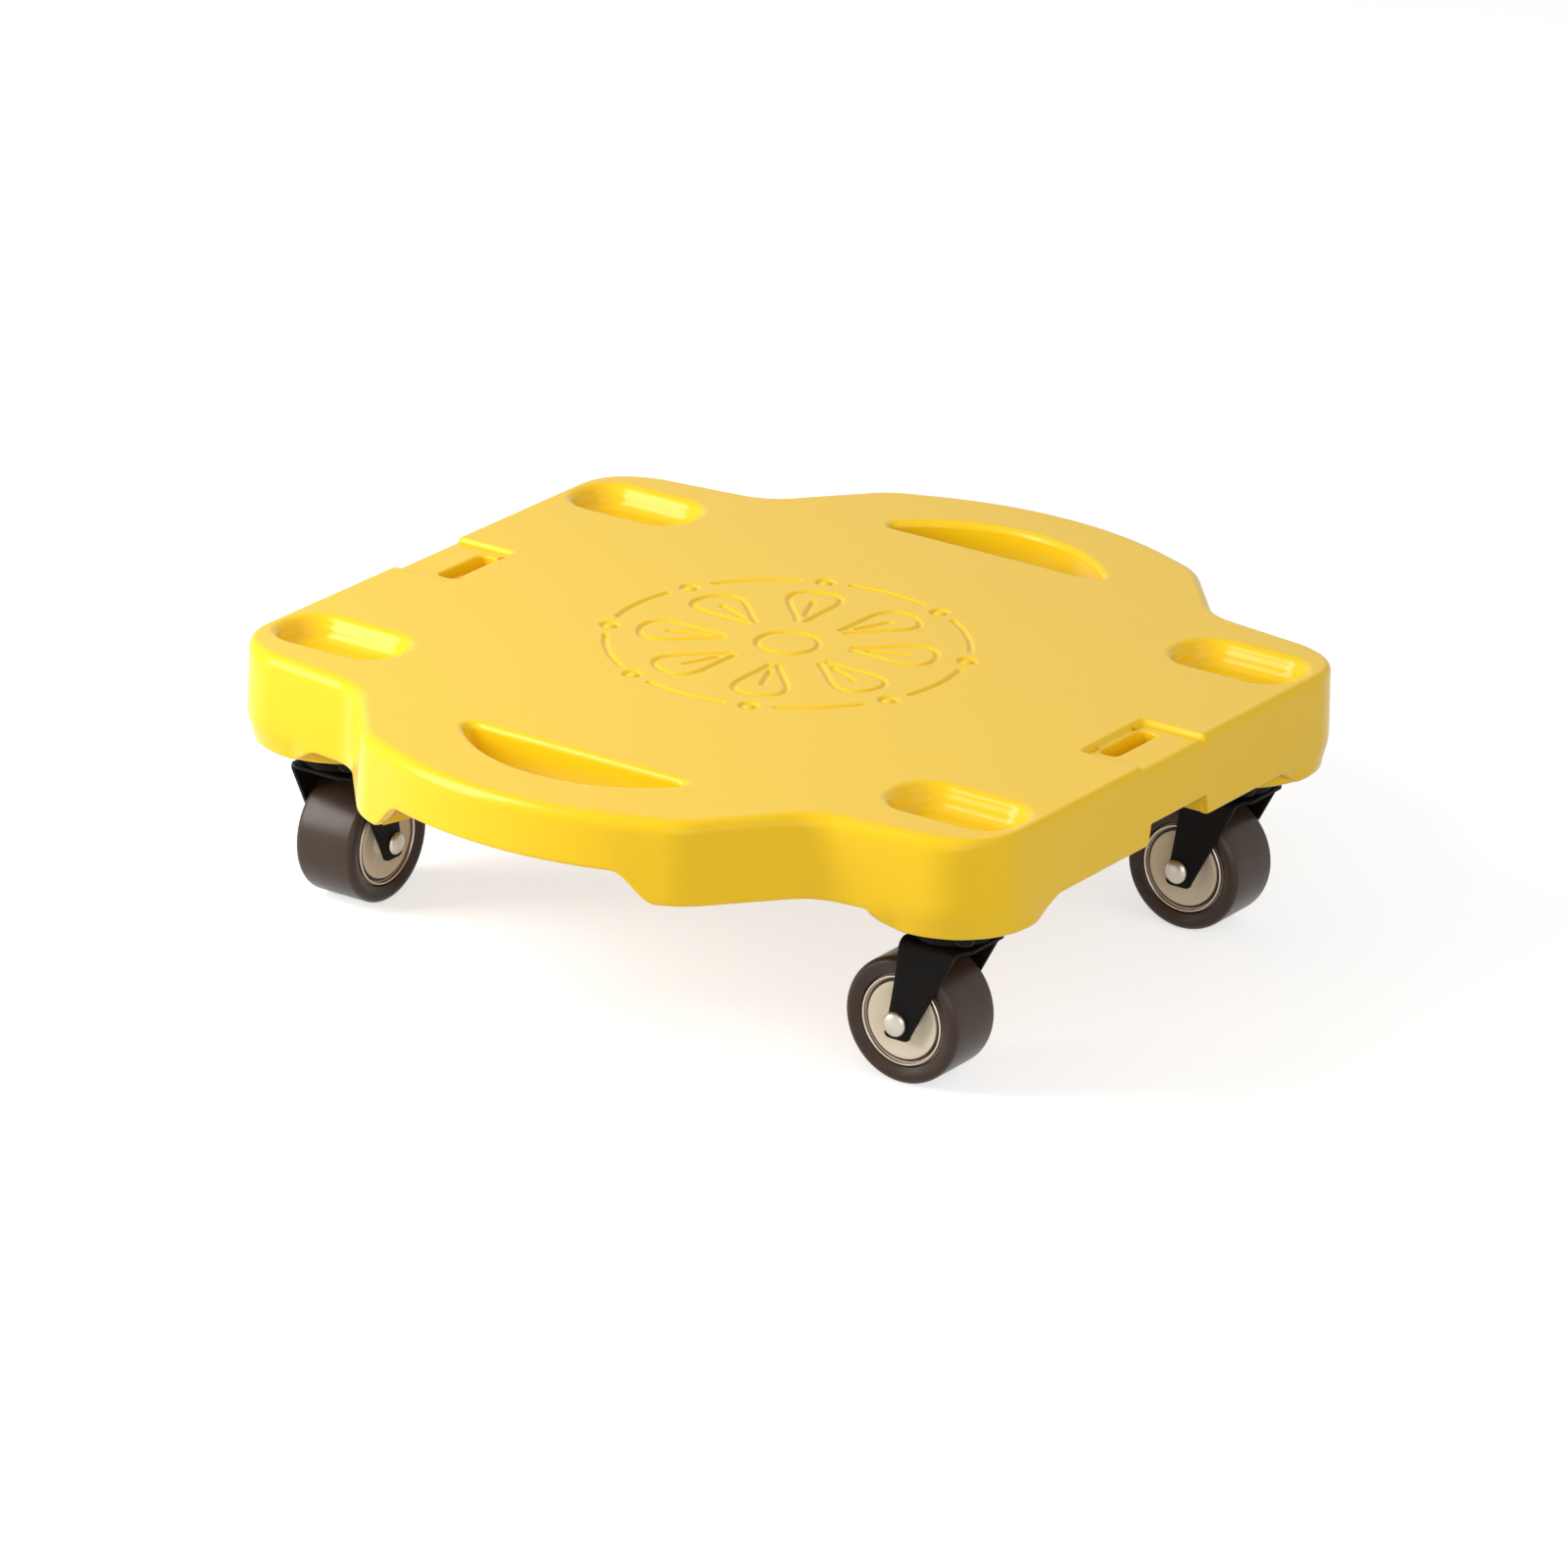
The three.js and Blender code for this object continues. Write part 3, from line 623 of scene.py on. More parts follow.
class SurfaceGroups:
    """The shared effects: moulded grain, edge wear, settled dust and handling scuffs."""

    BROAD_SHARE = 0.02
    WEAR_GAIN = 14.0
    DUST_FROM = 0.38
    DUST_GAIN = 2.5
    SCUFF_GAIN = 8.0

    def __init__(self) -> None:
        """Build each group once."""
        self.grain = self._grain()
        self.wear = self._wear()
        self.dust = self._dust()
        self.scuff = self._scuff()

    def _grain(self) -> bpy.types.NodeTree:
        """Fine skin of a mould.

        Returns:
            A group with a height for Bump and a small change of gloss.
        """
        group = ShaderGroup("moulded_grain", {"Scale": 1800.0, "Waviness": 0.3}, ["Height", "Gloss Change"])
        fine = group.noise(group.inputs["Scale"], 3.0, 0.6)
        broad = group.noise(group.maths("MULTIPLY", group.inputs["Scale"], self.BROAD_SHARE), 2.0)
        group.give("Height", group.maths("MULTIPLY_ADD", broad, group.inputs["Waviness"], fine))
        group.give("Gloss Change", group.maths("SUBTRACT", broad, 0.5))
        return group.tree

    def _wear(self) -> bpy.types.NodeTree:
        """Worn edges.

        Returns:
            A group with a mask from the sharpness of the form, broken up by noise.
        """
        group = ShaderGroup("edge_wear", {"Reach": 0.53, "Breakup": 90.0, "Amount": 0.5}, ["Mask"])
        form = group.add("ShaderNodeNewGeometry").outputs["Pointiness"]
        past = group.maths("SUBTRACT", form, group.inputs["Reach"])
        raised = group.maths("MULTIPLY", past, self.WEAR_GAIN)
        broken = group.maths("MULTIPLY", raised, group.noise(group.inputs["Breakup"], 4.0))
        group.give_held("Mask", group.maths("MULTIPLY", broken, group.inputs["Amount"]))
        return group.tree

    def _dust(self) -> bpy.types.NodeTree:
        """Fine dust in patches.

        Returns:
            A group with a mask on the faces that look up.
        """
        group = ShaderGroup("settled_dust", {"Patch Scale": 35.0, "Amount": 0.3}, ["Mask"])
        normal = group.add("ShaderNodeNewGeometry").outputs["Normal"]
        height = group.add("ShaderNodeSeparateXYZ", {0: normal}).outputs["Z"]
        patch = group.maths("SUBTRACT", group.noise(group.inputs["Patch Scale"], 6.0, 0.65), self.DUST_FROM)
        patch = group.maths("MAXIMUM", group.maths("MULTIPLY", patch, self.DUST_GAIN), 0.0)
        both = group.maths("MULTIPLY", group.maths("MAXIMUM", height, 0.0), patch)
        group.give_held("Mask", group.maths("MULTIPLY", both, group.inputs["Amount"]))
        return group.tree

    def _scuff(self) -> bpy.types.NodeTree:
        """Long faint rub marks.

        Returns:
            A group with a mask from stretched noise.
        """
        group = ShaderGroup("handling_scuff", {"Scale": 60.0, "Stretch": 9.0, "Threshold": 0.62}, ["Mask"])
        scale = group.inputs["Scale"]
        along = group.maths("DIVIDE", scale, group.inputs["Stretch"])
        shape = group.add("ShaderNodeCombineXYZ", {"X": scale, "Y": along, "Z": scale}).outputs[0]
        place = group.add("ShaderNodeTexCoord").outputs["Object"]
        stretched = group.add("ShaderNodeVectorMath", {0: place, 1: shape}, operation="MULTIPLY").outputs[0]
        feeds = {"Vector": stretched, "Scale": 1.0, "Detail": 5.0}
        marks = group.add("ShaderNodeTexNoise", feeds).outputs["Fac"]
        over = group.maths("SUBTRACT", marks, group.inputs["Threshold"])
        group.give_held("Mask", group.maths("MULTIPLY", over, self.SCUFF_GAIN))
        return group.tree


def new_material(name: str) -> tuple[bpy.types.Material, NodeTree]:
    """An empty material.

    Args:
        name: Material name.

    Returns:
        The material and its tree.
    """
    made = bpy.data.materials.new(name)
    made.use_nodes = True
    made.node_tree.nodes.clear()
    return made, NodeTree(made.node_tree)


@dataclass(frozen=True)
class Finish:
    """One finish of the object, with every colour in linear red, green and blue."""

    name: str
    colour: tuple[float, float, float]
    tint: tuple[float, float, float]
    worn: tuple[float, float, float]
    dusty: tuple[float, float, float]
    roughness: float
    metallic: float = 0.0
    specular: float = 0.5
    grain_scale: float = 1800.0
    waviness: float = 0.3
    bump: float = 0.03
    gloss_change: float = 0.1
    tint_scale: float = 6.0
    tint_amount: float = 0.3
    tint_range: tuple[float, float] = (0.35, 0.65)
    wear_amount: float = 0.3
    dust_amount: float = 0.1
    scuff_amount: float = 0.1
    scuff_scale: float = 60.0
    dust_roughness: float = 0.25
    bump_distance: float = 0.0004

    def material(self, groups: SurfaceGroups) -> bpy.types.Material:
        """Build the material.

        Args:
            groups: The shared effects.

        Returns:
            A node material that reads Object coordinates only.
        """
        made, nodes = new_material(self.name)
        shaped = {"Scale": self.grain_scale, "Waviness": self.waviness}
        grain = nodes.add("ShaderNodeGroup", shaped, node_tree=groups.grain).outputs
        wear, dust, scuff = (
            nodes.add("ShaderNodeGroup", {label: value}, node_tree=group).outputs["Mask"]
            for label, value, group in (
                ("Amount", self.wear_amount, groups.wear),
                ("Amount", self.dust_amount, groups.dust),
                ("Scale", self.scuff_scale, groups.scuff),
            )
        )
        low, high = self.tint_range
        clouds = nodes.noise(self.tint_scale, 3.0)
        span = {"Value": clouds, "From Min": low, "From Max": high, "To Max": self.tint_amount}
        colour = nodes.mix(nodes.add("ShaderNodeMapRange", span).outputs[0], self.colour, self.tint)
        colour = nodes.mix(wear, colour, self.worn)
        colour = nodes.mix(dust, colour, self.dusty)
        rub = nodes.maths("MULTIPLY", scuff, self.scuff_amount)
        change = nodes.maths("MULTIPLY", grain["Gloss Change"], self.gloss_change)
        rough = nodes.maths("ADD", nodes.maths("ADD", rub, change), self.roughness)
        rough = nodes.maths("ADD", rough, nodes.maths("MULTIPLY", dust, self.dust_roughness))
        raised = {"Strength": self.bump, "Distance": self.bump_distance, "Height": grain["Height"]}
        feeds = {
            "Base Color": colour,
            "Roughness": rough,
            "Metallic": self.metallic,
            "Specular IOR Level": self.specular,
            "Normal": nodes.add("ShaderNodeBump", raised).outputs[0],
        }
        shader = nodes.add("ShaderNodeBsdfPrincipled", feeds)
        nodes.add("ShaderNodeOutputMaterial", {"Surface": shader.outputs[0]})
        return made


YELLOW_PLASTIC = Finish(
    name="yellow_moulded_plastic",
    colour=(0.92, 0.580, 0.010),
    tint=(0.90, 0.560, 0.009),
    worn=(0.95, 0.68, 0.09),
    dusty=(0.88, 0.64, 0.16),
    roughness=0.235,
    specular=0.24,
    grain_scale=1500.0,
    waviness=0.35,
    bump=0.05,
    gloss_change=0.06,
    wear_amount=0.15,
    dust_amount=0.03,
    scuff_amount=0.03,
    scuff_scale=45.0,
)
BLACK_STEEL = Finish(
    name="black_coated_steel",
    colour=(0.0060, 0.0048, 0.0040),
    tint=(0.0085, 0.0068, 0.0056),
    worn=(0.055, 0.048, 0.042),
    dusty=(0.030, 0.026, 0.022),
    roughness=0.52,
    specular=0.08,
    grain_scale=2600.0,
    bump=0.12,
    tint_scale=40.0,
    wear_amount=0.35,
    dust_amount=0.08,
)
ZINC_STEEL = Finish(
    name="zinc_plated_steel",
    colour=(0.62, 0.57, 0.50),
    tint=(0.52, 0.47, 0.40),
    worn=(0.80, 0.77, 0.72),
    dusty=(0.5, 0.46, 0.4),
    roughness=0.34,
    metallic=0.85,
    grain_scale=3200.0,
    bump=0.10,
    tint_scale=120.0,
    tint_amount=0.6,
    dust_amount=0.05,
)
TRIM_STEEL = Finish(
    name="bright_trim_steel",
    colour=(0.60, 0.52, 0.44),
    tint=(0.53, 0.46, 0.38),
    worn=(0.85, 0.8, 0.74),
    dusty=(0.5, 0.44, 0.38),
    roughness=0.32,
    metallic=0.9,
    grain_scale=3600.0,
    bump=0.06,
    tint_scale=150.0,
    dust_amount=0.05,
)
TYRE_RUBBER = Finish(
    name="brown_black_tyre",
    colour=(0.044, 0.025, 0.014),
    tint=(0.054, 0.032, 0.019),
    worn=(0.075, 0.055, 0.042),
    dusty=(0.10, 0.08, 0.06),
    roughness=0.32,
    specular=0.27,
    grain_scale=2200.0,
    waviness=0.5,
    bump=0.10,
    tint_scale=60.0,
    tint_amount=0.5,
    wear_amount=0.30,
    dust_amount=0.08,
    scuff_amount=0.12,
)
HUB_PLASTIC = Finish(
    name="cream_hub_plastic",
    colour=(0.87, 0.75, 0.57),
    tint=(0.82, 0.69, 0.51),
    worn=(0.74, 0.67, 0.56),
    dusty=(0.55, 0.48, 0.38),
    roughness=0.38,
    specular=0.4,
    grain_scale=2400.0,
    bump=0.06,
    tint_scale=90.0,
    tint_amount=0.5,
    wear_amount=0.2,
)


class Palette:
    """The materials of the object, one for each slot."""

    def __init__(self) -> None:
        """Build the shared effects and the six finishes."""
        groups = SurfaceGroups()
        finishes = {
            Slot.DECK: YELLOW_PLASTIC,
            Slot.STEEL: BLACK_STEEL,
            Slot.ZINC: ZINC_STEEL,
            Slot.TRIM: TRIM_STEEL,
            Slot.TYRE: TYRE_RUBBER,
            Slot.HUB: HUB_PLASTIC,
        }
        self.by_slot = {slot: finish.material(groups) for slot, finish in finishes.items()}

    def __getitem__(self, slot: Slot) -> bpy.types.Material:
        """The material of a slot."""
        return self.by_slot[slot]


# Geometry Nodes


class GeometryTree(NodeTree):
    """A Geometry Nodes tree with named inputs, applied to a mesh and turned into a plain one."""

    def __init__(self, name: str, sizes: dict[str, float]) -> None:
        """Make the tree and its inputs.

        Args:
            name: Tree name.
            sizes: Named lengths in metres with their values.
        """
        super().__init__(bpy.data.node_groups.new(name, "GeometryNodeTree"))
        self.sizes = sizes
        face = self.tree.interface
        face.new_socket("Geometry", in_out="INPUT", socket_type="NodeSocketGeometry")
        kinds = {**dict.fromkeys(sizes, "NodeSocketFloat"), "Material": "NodeSocketMaterial"}
        self.keys = {
            label: face.new_socket(label, in_out="INPUT", socket_type=kind).identifier
            for label, kind in kinds.items()
        }
        face.new_socket("Geometry", in_out="OUTPUT", socket_type="NodeSocketGeometry")
        self.inputs = self.tree.nodes.new("NodeGroupInput").outputs
        self.outputs = self.tree.nodes.new("NodeGroupOutput").inputs

    def close(self, geometry: bpy.types.NodeSocket) -> None:
        """End the tree in Realize Instances and Set Material.

        Args:
            geometry: What the tree has made.
        """
        real = self.add("GeometryNodeRealizeInstances", {"Geometry": geometry}).outputs[0]
        feeds = {"Geometry": real, "Material": self.inputs["Material"]}
        dressed = self.add("GeometryNodeSetMaterial", feeds).outputs[0]
        self.tree.links.new(dressed, self.outputs["Geometry"])

    def sweep(self, path: bpy.types.NodeSocket, section: bpy.types.NodeSocket, capped: bool = False) -> None:
        """End the tree with a section swept along a path and kept upright.

        Args:
            path: Curve to follow.
            section: Closed curve of the section.
            capped: True if the ends are closed.
        """
        upright = self.add("GeometryNodeSetCurveNormal", {"Curve": path}, mode="Z_UP").outputs[0]
        feeds = {"Curve": upright, "Profile Curve": section, "Fill Caps": capped}
        self.close(self.add("GeometryNodeCurveToMesh", feeds).outputs[0])

    def mesh(self, name: str, source: bpy.types.Mesh, material: bpy.types.Material) -> bpy.types.Mesh:
        """Run the tree on a mesh.

        Args:
            name: Name of the resulting mesh.
            source: Mesh that the tree starts from.
            material: Material passed to the tree.

        Returns:
            A plain mesh without instances or doubles, with outward faces.
        """
        carrier = bpy.data.objects.new(f"{name}_carrier", source)
        bpy.context.scene.collection.objects.link(carrier)
        modifier = carrier.modifiers.new(name, "NODES")
        modifier.node_group = self.tree
        for label, value in {**self.sizes, "Material": material}.items():
            modifier[self.keys[label]] = value
        bpy.context.view_layer.update()
        graph = bpy.context.evaluated_depsgraph_get()
        baked = bpy.data.meshes.new_from_object(carrier.evaluated_get(graph))
        baked.name = name
        bpy.data.objects.remove(carrier)
        return outward(baked)


# Sub-assemblies


@dataclass
class DeckOutline:
    """Plan of the deck: straight ends, corner lobes, necks and two wings, in millimetres."""

    half_length: float = 190.0
    lobe_half_width: float = 139.5
    lobe_radius: float = 32.0
    neck: tuple[float, float, float] = (115.2, 149.2, 26.0)
    shoulder: tuple[float, float, float] = (80.4, 191.0, 36.0)
    wing_peak: float = 224.3
    wing_half_width: float = 211.5
    spacing: float = 2.2
    landing_half: float = 23.2
    landing_ease: float = 0.9
    landing_marks: tuple[float, ...] = (-1.7, -1.0, -0.5, 0.0, 0.5, 1.0, 1.7)
    notch_marks: tuple[float, ...] = (16.4, 17.0, 17.5, 18.0, 18.5, 19.0, 25.3, 25.8, 26.4)

    def loop(self) -> Loop:
        """The whole outline, with points where the landings meet the ends.

        Returns:
            Its points, counter-clockwise.
        """
        lean = math.atan2(self.wing_peak - self.shoulder[1], self.shoulder[0])
        wing_radius = (self.wing_peak - self.wing_half_width) / (1 / math.cos(lean) - 1)
        lobe = (self.half_length, self.lobe_half_width, self.lobe_radius)
        quarter = [lobe, self.neck, self.shoulder]
        mirror = [(-x, y, r) for x, y, r in reversed(quarter)]
        upper = [*quarter, (0.0, self.wing_peak, wing_radius), *mirror]
        lower = [(-x, -y, r) for x, y, r in upper]
        fine = rounded_polygon([*upper, *lower], 48)
        half = fine[: len(fine) // 2]
        return self._with_ends(half)

    def held(self, loop: Loop, inset: float) -> Loop:
        """Pull a loop inside the straight ends and the corner lobes.

        Args:
            loop: Points to hold.
            inset: Distance that they keep from the outline.

        Returns:
            The loop with every outlying point moved to the limit.
        """
        centre = np.array([self.half_length, self.lobe_half_width]) - self.lobe_radius
        place = np.abs(loop) - centre
        past = np.maximum(place, 0.0)
        away = np.maximum(np.linalg.norm(past, axis=1, keepdims=True), 1e-9)
        pulled = past * np.minimum((self.lobe_radius - inset) / away, 1.0)
        return np.sign(loop) * (np.where(place > 0.0, pulled, place) + centre)

    def _with_ends(self, half: Loop) -> Loop:
        """Join the two halves by straight ends.

        Args:
            half: Outline from the back right lobe to the back left one.

        Returns:
            The outline, with points at the landings' edges and the notches' sides.
        """
        straight_y = self.lobe_half_width - self.lobe_radius
        curved = resampled(half, self.spacing, closed=False)
        kept = [self.landing_half + mark * self.landing_ease for mark in self.landing_marks]
        kept += list(self.notch_marks)
        kept = np.array(sorted([*kept, *(-y for y in kept)]))
        plain = np.linspace(-straight_y, straight_y, 99)[1:-1]
        gap = np.abs(plain[:, None] - kept[None, :]).min(axis=1)
        ys = np.sort(np.concatenate([plain[gap > 0.9], kept]))
        right = np.stack([np.full_like(ys, self.half_length), ys], axis=1)
        return np.vstack([right, curved, -right, -curved])


@dataclass
class SkirtEdge:
    """Depth of the skirt's lower edge below the top face, in millimetres."""

    lobe: float = 43.5
    side: float = 35.6
    wing: float = 23.0
    notch: float = 26.8
    cup_radius: float = 36.5
    cup_pull: float = 3.2
    lobe_near: float = 6.5
    lobe_far: float = 22.5
    front_shift: float = 4.8
    turn_from: float = 31.0
    wing_x: float = 53.0
    wing_run: float = 17.0
    wing_from: float = 156.0
    notch_near: float = -17.0
    notch_far: float = 24.6
    notch_flare: float = 2.0
    outer_shares: tuple[float, ...] = (0.12, 0.35, 0.55, 0.7, 0.8, 0.88, 0.95, 1.0)
    inner_shares: tuple[float, ...] = (0.15, 0.3, 0.6, 1.0)

    def belongs(self, loop: Loop) -> np.ndarray:
        """How far each point belongs to a corner lobe, from 0 to 1."""
        past = np.array(CASTER_AT) + np.array([self.front_shift, 0.0]) - np.abs(loop)
        return 1.0 - smooth((past.max(axis=1) - self.lobe_near) / (self.lobe_far - self.lobe_near))

    def depth(self, loop: Loop, half_length: float) -> np.ndarray:
        """Depth at every point of the outline.

        Args:
            loop: Points of the outline.
            half_length: Half of the deck along X, where the end notches are.

        Returns:
            One depth for each point.
        """
        x, y = np.abs(loop[:, 0]), np.abs(loop[:, 1])
        lobes = self.side + (self.lobe - self.side) * self.belongs(loop)
        rise = self.side - self.wing
        wing = self.wing + rise * smooth((x - self.wing_x) / self.wing_run)
        wing = np.where(y > self.wing_from, wing, self.lobe)
        along = loop[:, 1] * np.sign(loop[:, 0])
        past = np.maximum(self.notch_near - along, along - self.notch_far)
        notch = self.notch + (self.side - self.notch) * smooth(past / self.notch_flare)
        notch = np.where((x > half_length - 1.0) & (past < self.notch_flare), notch, self.lobe)
        return np.minimum.reduce([lobes, wing, notch])

    def drawn(self, outline: Loop, inset: float, depth: np.ndarray) -> Loop:
        """A ring of the skirt, whose low points at the lobes lie on the round cups.

        Args:
            outline: Outline of the deck.
            inset: Distance of the ring inside the outline.
            depth: Depth of each point of the ring below the top face.

        Returns:
            The ring's points.
        """
        loop = grown(outline, -inset)
        axis = np.sign(outline) * CASTER_AT
        away = outline - axis
        reach = np.linalg.norm(away, axis=1, keepdims=True)
        share = self.belongs(outline) * smooth((depth - self.turn_from) / (self.lobe - self.turn_from))
        pull = np.clip(reach - self.cup_radius, 0.0, self.cup_pull)
        return loop - away / reach * pull * share[:, None]


@dataclass
class HandHole:
    """A D-shaped hand hole in a wing, in millimetres."""

    inner_y: float = 148.4
    outer_y: float = 182.5
    arc_radius: float = 72.8
    tip_radius: float = 4.0
    half_length: float = 57.0
    inset: float = 2.4
    lip: float = 3.2
    rim_wall: float = 3.0
    rim_depth: float = 21.0

    def loop(self) -> Loop:
        """The hole's outline in the back wing.

        Returns:
            Its points, counter-clockwise.
        """
        centre_y = self.outer_y - self.arc_radius
        radius, inner = self.arc_radius - self.inset, self.inner_y + self.inset
        chord = math.sqrt(radius**2 - (inner - centre_y) ** 2)
        tip = min(chord - self.tip_radius, self.half_length - self.inset)
        angle = math.acos(tip / radius)
        arc = arc_points(0.0, centre_y, radius, angle, PI - angle, 60)
        start = np.array([-tip, arc[-1][1]])
        knee = np.array([-tip - self.tip_radius / 2, inner])
        end = np.array([-tip + self.tip_radius, inner])
        share = np.linspace(0.0, 1.0, 9)[1:, None]
        corner = start * (1 - share) ** 2 + knee * 2 * share * (1 - share) + end * share**2
        mirror = corner[::-1] * np.array([-1.0, 1.0])
        return resampled(np.vstack([arc, corner, mirror]), 1.6)


@dataclass
class NestPocket:
    """A recess in the top that takes the wheel of a board stacked on it, in millimetres."""

    half_x: float = 32.5
    half_y: float = 20.0
    corner: float = 18.0
    depth: float = 9.5
    lip: float = 4.6
    lip_turn: float = 0.88
    guard: float = 0.3
    taper: float = 1.0
    floor_round: float = 5.6
    wall: float = 3.5

    def loop(self) -> Loop:
        """The outline of the pocket's side walls about its own middle, inside its rounded lip."""
        half_x, half_y = self.half_x - self.lip, self.half_y - self.lip
        return resampled(rectangle(half_x, half_y, self.corner - self.lip, 16), 1.8)


@dataclass
class StrapSlot:
    """A slot through the deck in a lowered landing, in millimetres."""

    centre_x: float = 166.5
    half_x: float = 4.5
    half_y: float = 16.0
    corner: float = 3.0
    lip: float = 1.0
    rim_wall: float = 3.0
    rim_depth: float = 25.0
    landing_x: float = 158.5
    landing_depth: float = 2.0
    landing_corner: float = 2.4

    def loop(self) -> Loop:
        """The slot's outline at the right end."""
        shape = resampled(rectangle(self.half_x, self.half_y, self.corner, 8), 1.2)
        return shape + np.array([self.centre_x, 0.0])


@dataclass
class Ornament:
    """A generic engraved rosette: a ring, eight petals and a broken halo, in millimetres."""

    middle: tuple[float, float] = (-5.0, 5.0)
    ring_radius: float = 13.0
    petals: int = 8
    petal_from: float = 19.0
    petal_length: float = 44.0
    petal_half_width: float = 12.5
    petal_blunt: float = 0.8
    petal_swell: float = 0.45
    vein_shares: tuple[float, float] = (0.35, 0.72)
    halo_radius: float = 76.0
    halo_share: float = 0.62
    seed_radius: float = 3.2
    half_width: float = 1.15
    depth: float = 1.0
    spacing: float = 1.5
    section: tuple[tuple[float, float], ...] = ((1.9, 0.0), (1.35, 0.0), (1.0, 0.3), (0.62, 0.8), (0.25, 1.0))

    def strokes(self) -> list[tuple[Loop, bool]]:
        """Centre lines of the grooves.

        Returns:
            Each line with True if it is closed.
        """
        made: list[tuple[Loop, bool]] = []
        ring = circle(1.0, 48)
        made.append((resampled(ring * self.ring_radius, self.spacing), True))
        pitch = 2 * PI / self.petals
        for number in range(self.petals):
            facing = pitch * (number + 0.5)
            made.append((self._petal(facing), False))
            made.append((self._vein(facing), False))
            start = pitch * number - pitch * self.halo_share / 2
            arc = arc_points(0.0, 0.0, self.halo_radius, start, start + pitch * self.halo_share, 40)
            made.append((resampled(arc, self.spacing, closed=False), False))
            spot = ring[::4] * self.seed_radius + self._on_ray(self.halo_radius, facing)
            made.append((spot, True))
        return [(line + np.array(self.middle), closed) for line, closed in made]

    def _on_ray(self, radius: float, angle: float) -> np.ndarray:
        """A point at a radius and an angle from the middle."""
        return np.array([radius * math.cos(angle), radius * math.sin(angle)])

    def _petal(self, facing: float) -> Loop:
        """One petal as an open stroke that starts and ends near the ring.

        Args:
            facing: Its direction in radians.

        Returns:
            Points of the stroke.
        """
        share = np.linspace(0.04, 0.96, 60)
        along = self.petal_from + self.petal_length * np.sin(PI * share) ** self.petal_blunt
        swell = 1.0 - self.petal_swell + self.petal_swell * np.sin(PI * share)
        side = self.petal_half_width * np.sin(2 * PI * share) * swell
        cos, sin = math.cos(facing), math.sin(facing)
        line = np.stack([along * cos + side * sin, along * sin - side * cos], axis=1)
        return resampled(line, self.spacing, closed=False)

    def _vein(self, facing: float) -> Loop:
        """A short straight stroke along a petal.

        Args:
            facing: Its direction in radians.

        Returns:
            Points of the stroke.
        """
        reach = (self.petal_from + self.petal_length * share for share in self.vein_shares)
        ends = np.stack([self._on_ray(radius, facing) for radius in reach])
        return resampled(ends, self.spacing, closed=False)

    def contours(self, line: Loop, closed: bool, distance: float) -> list[Loop]:
        """Loops at a distance round a stroke.

        Args:
            line: Centre line.
            closed: True for a closed stroke, which has an outer and an inner loop.
            distance: Distance from the centre line.

        Returns:
            One loop round an open stroke, two along a closed one.
        """
        if closed:
            return [grown(line, distance), grown(line, -distance)]
        along = np.gradient(line, axis=0)
        along /= np.linalg.norm(along, axis=1, keepdims=True)
        side = np.stack([along[:, 1], -along[:, 0]], axis=1) * distance
        last = math.atan2(side[-1][1], side[-1][0])
        first = math.atan2(-side[0][1], -side[0][0])
        end = arc_points(line[-1][0], line[-1][1], distance, last, last + PI, 6)[1:-1]
        start = arc_points(line[0][0], line[0][1], distance, first, first + PI, 6)[1:-1]
        return [np.vstack([line + side, end, (line - side)[::-1], start])]


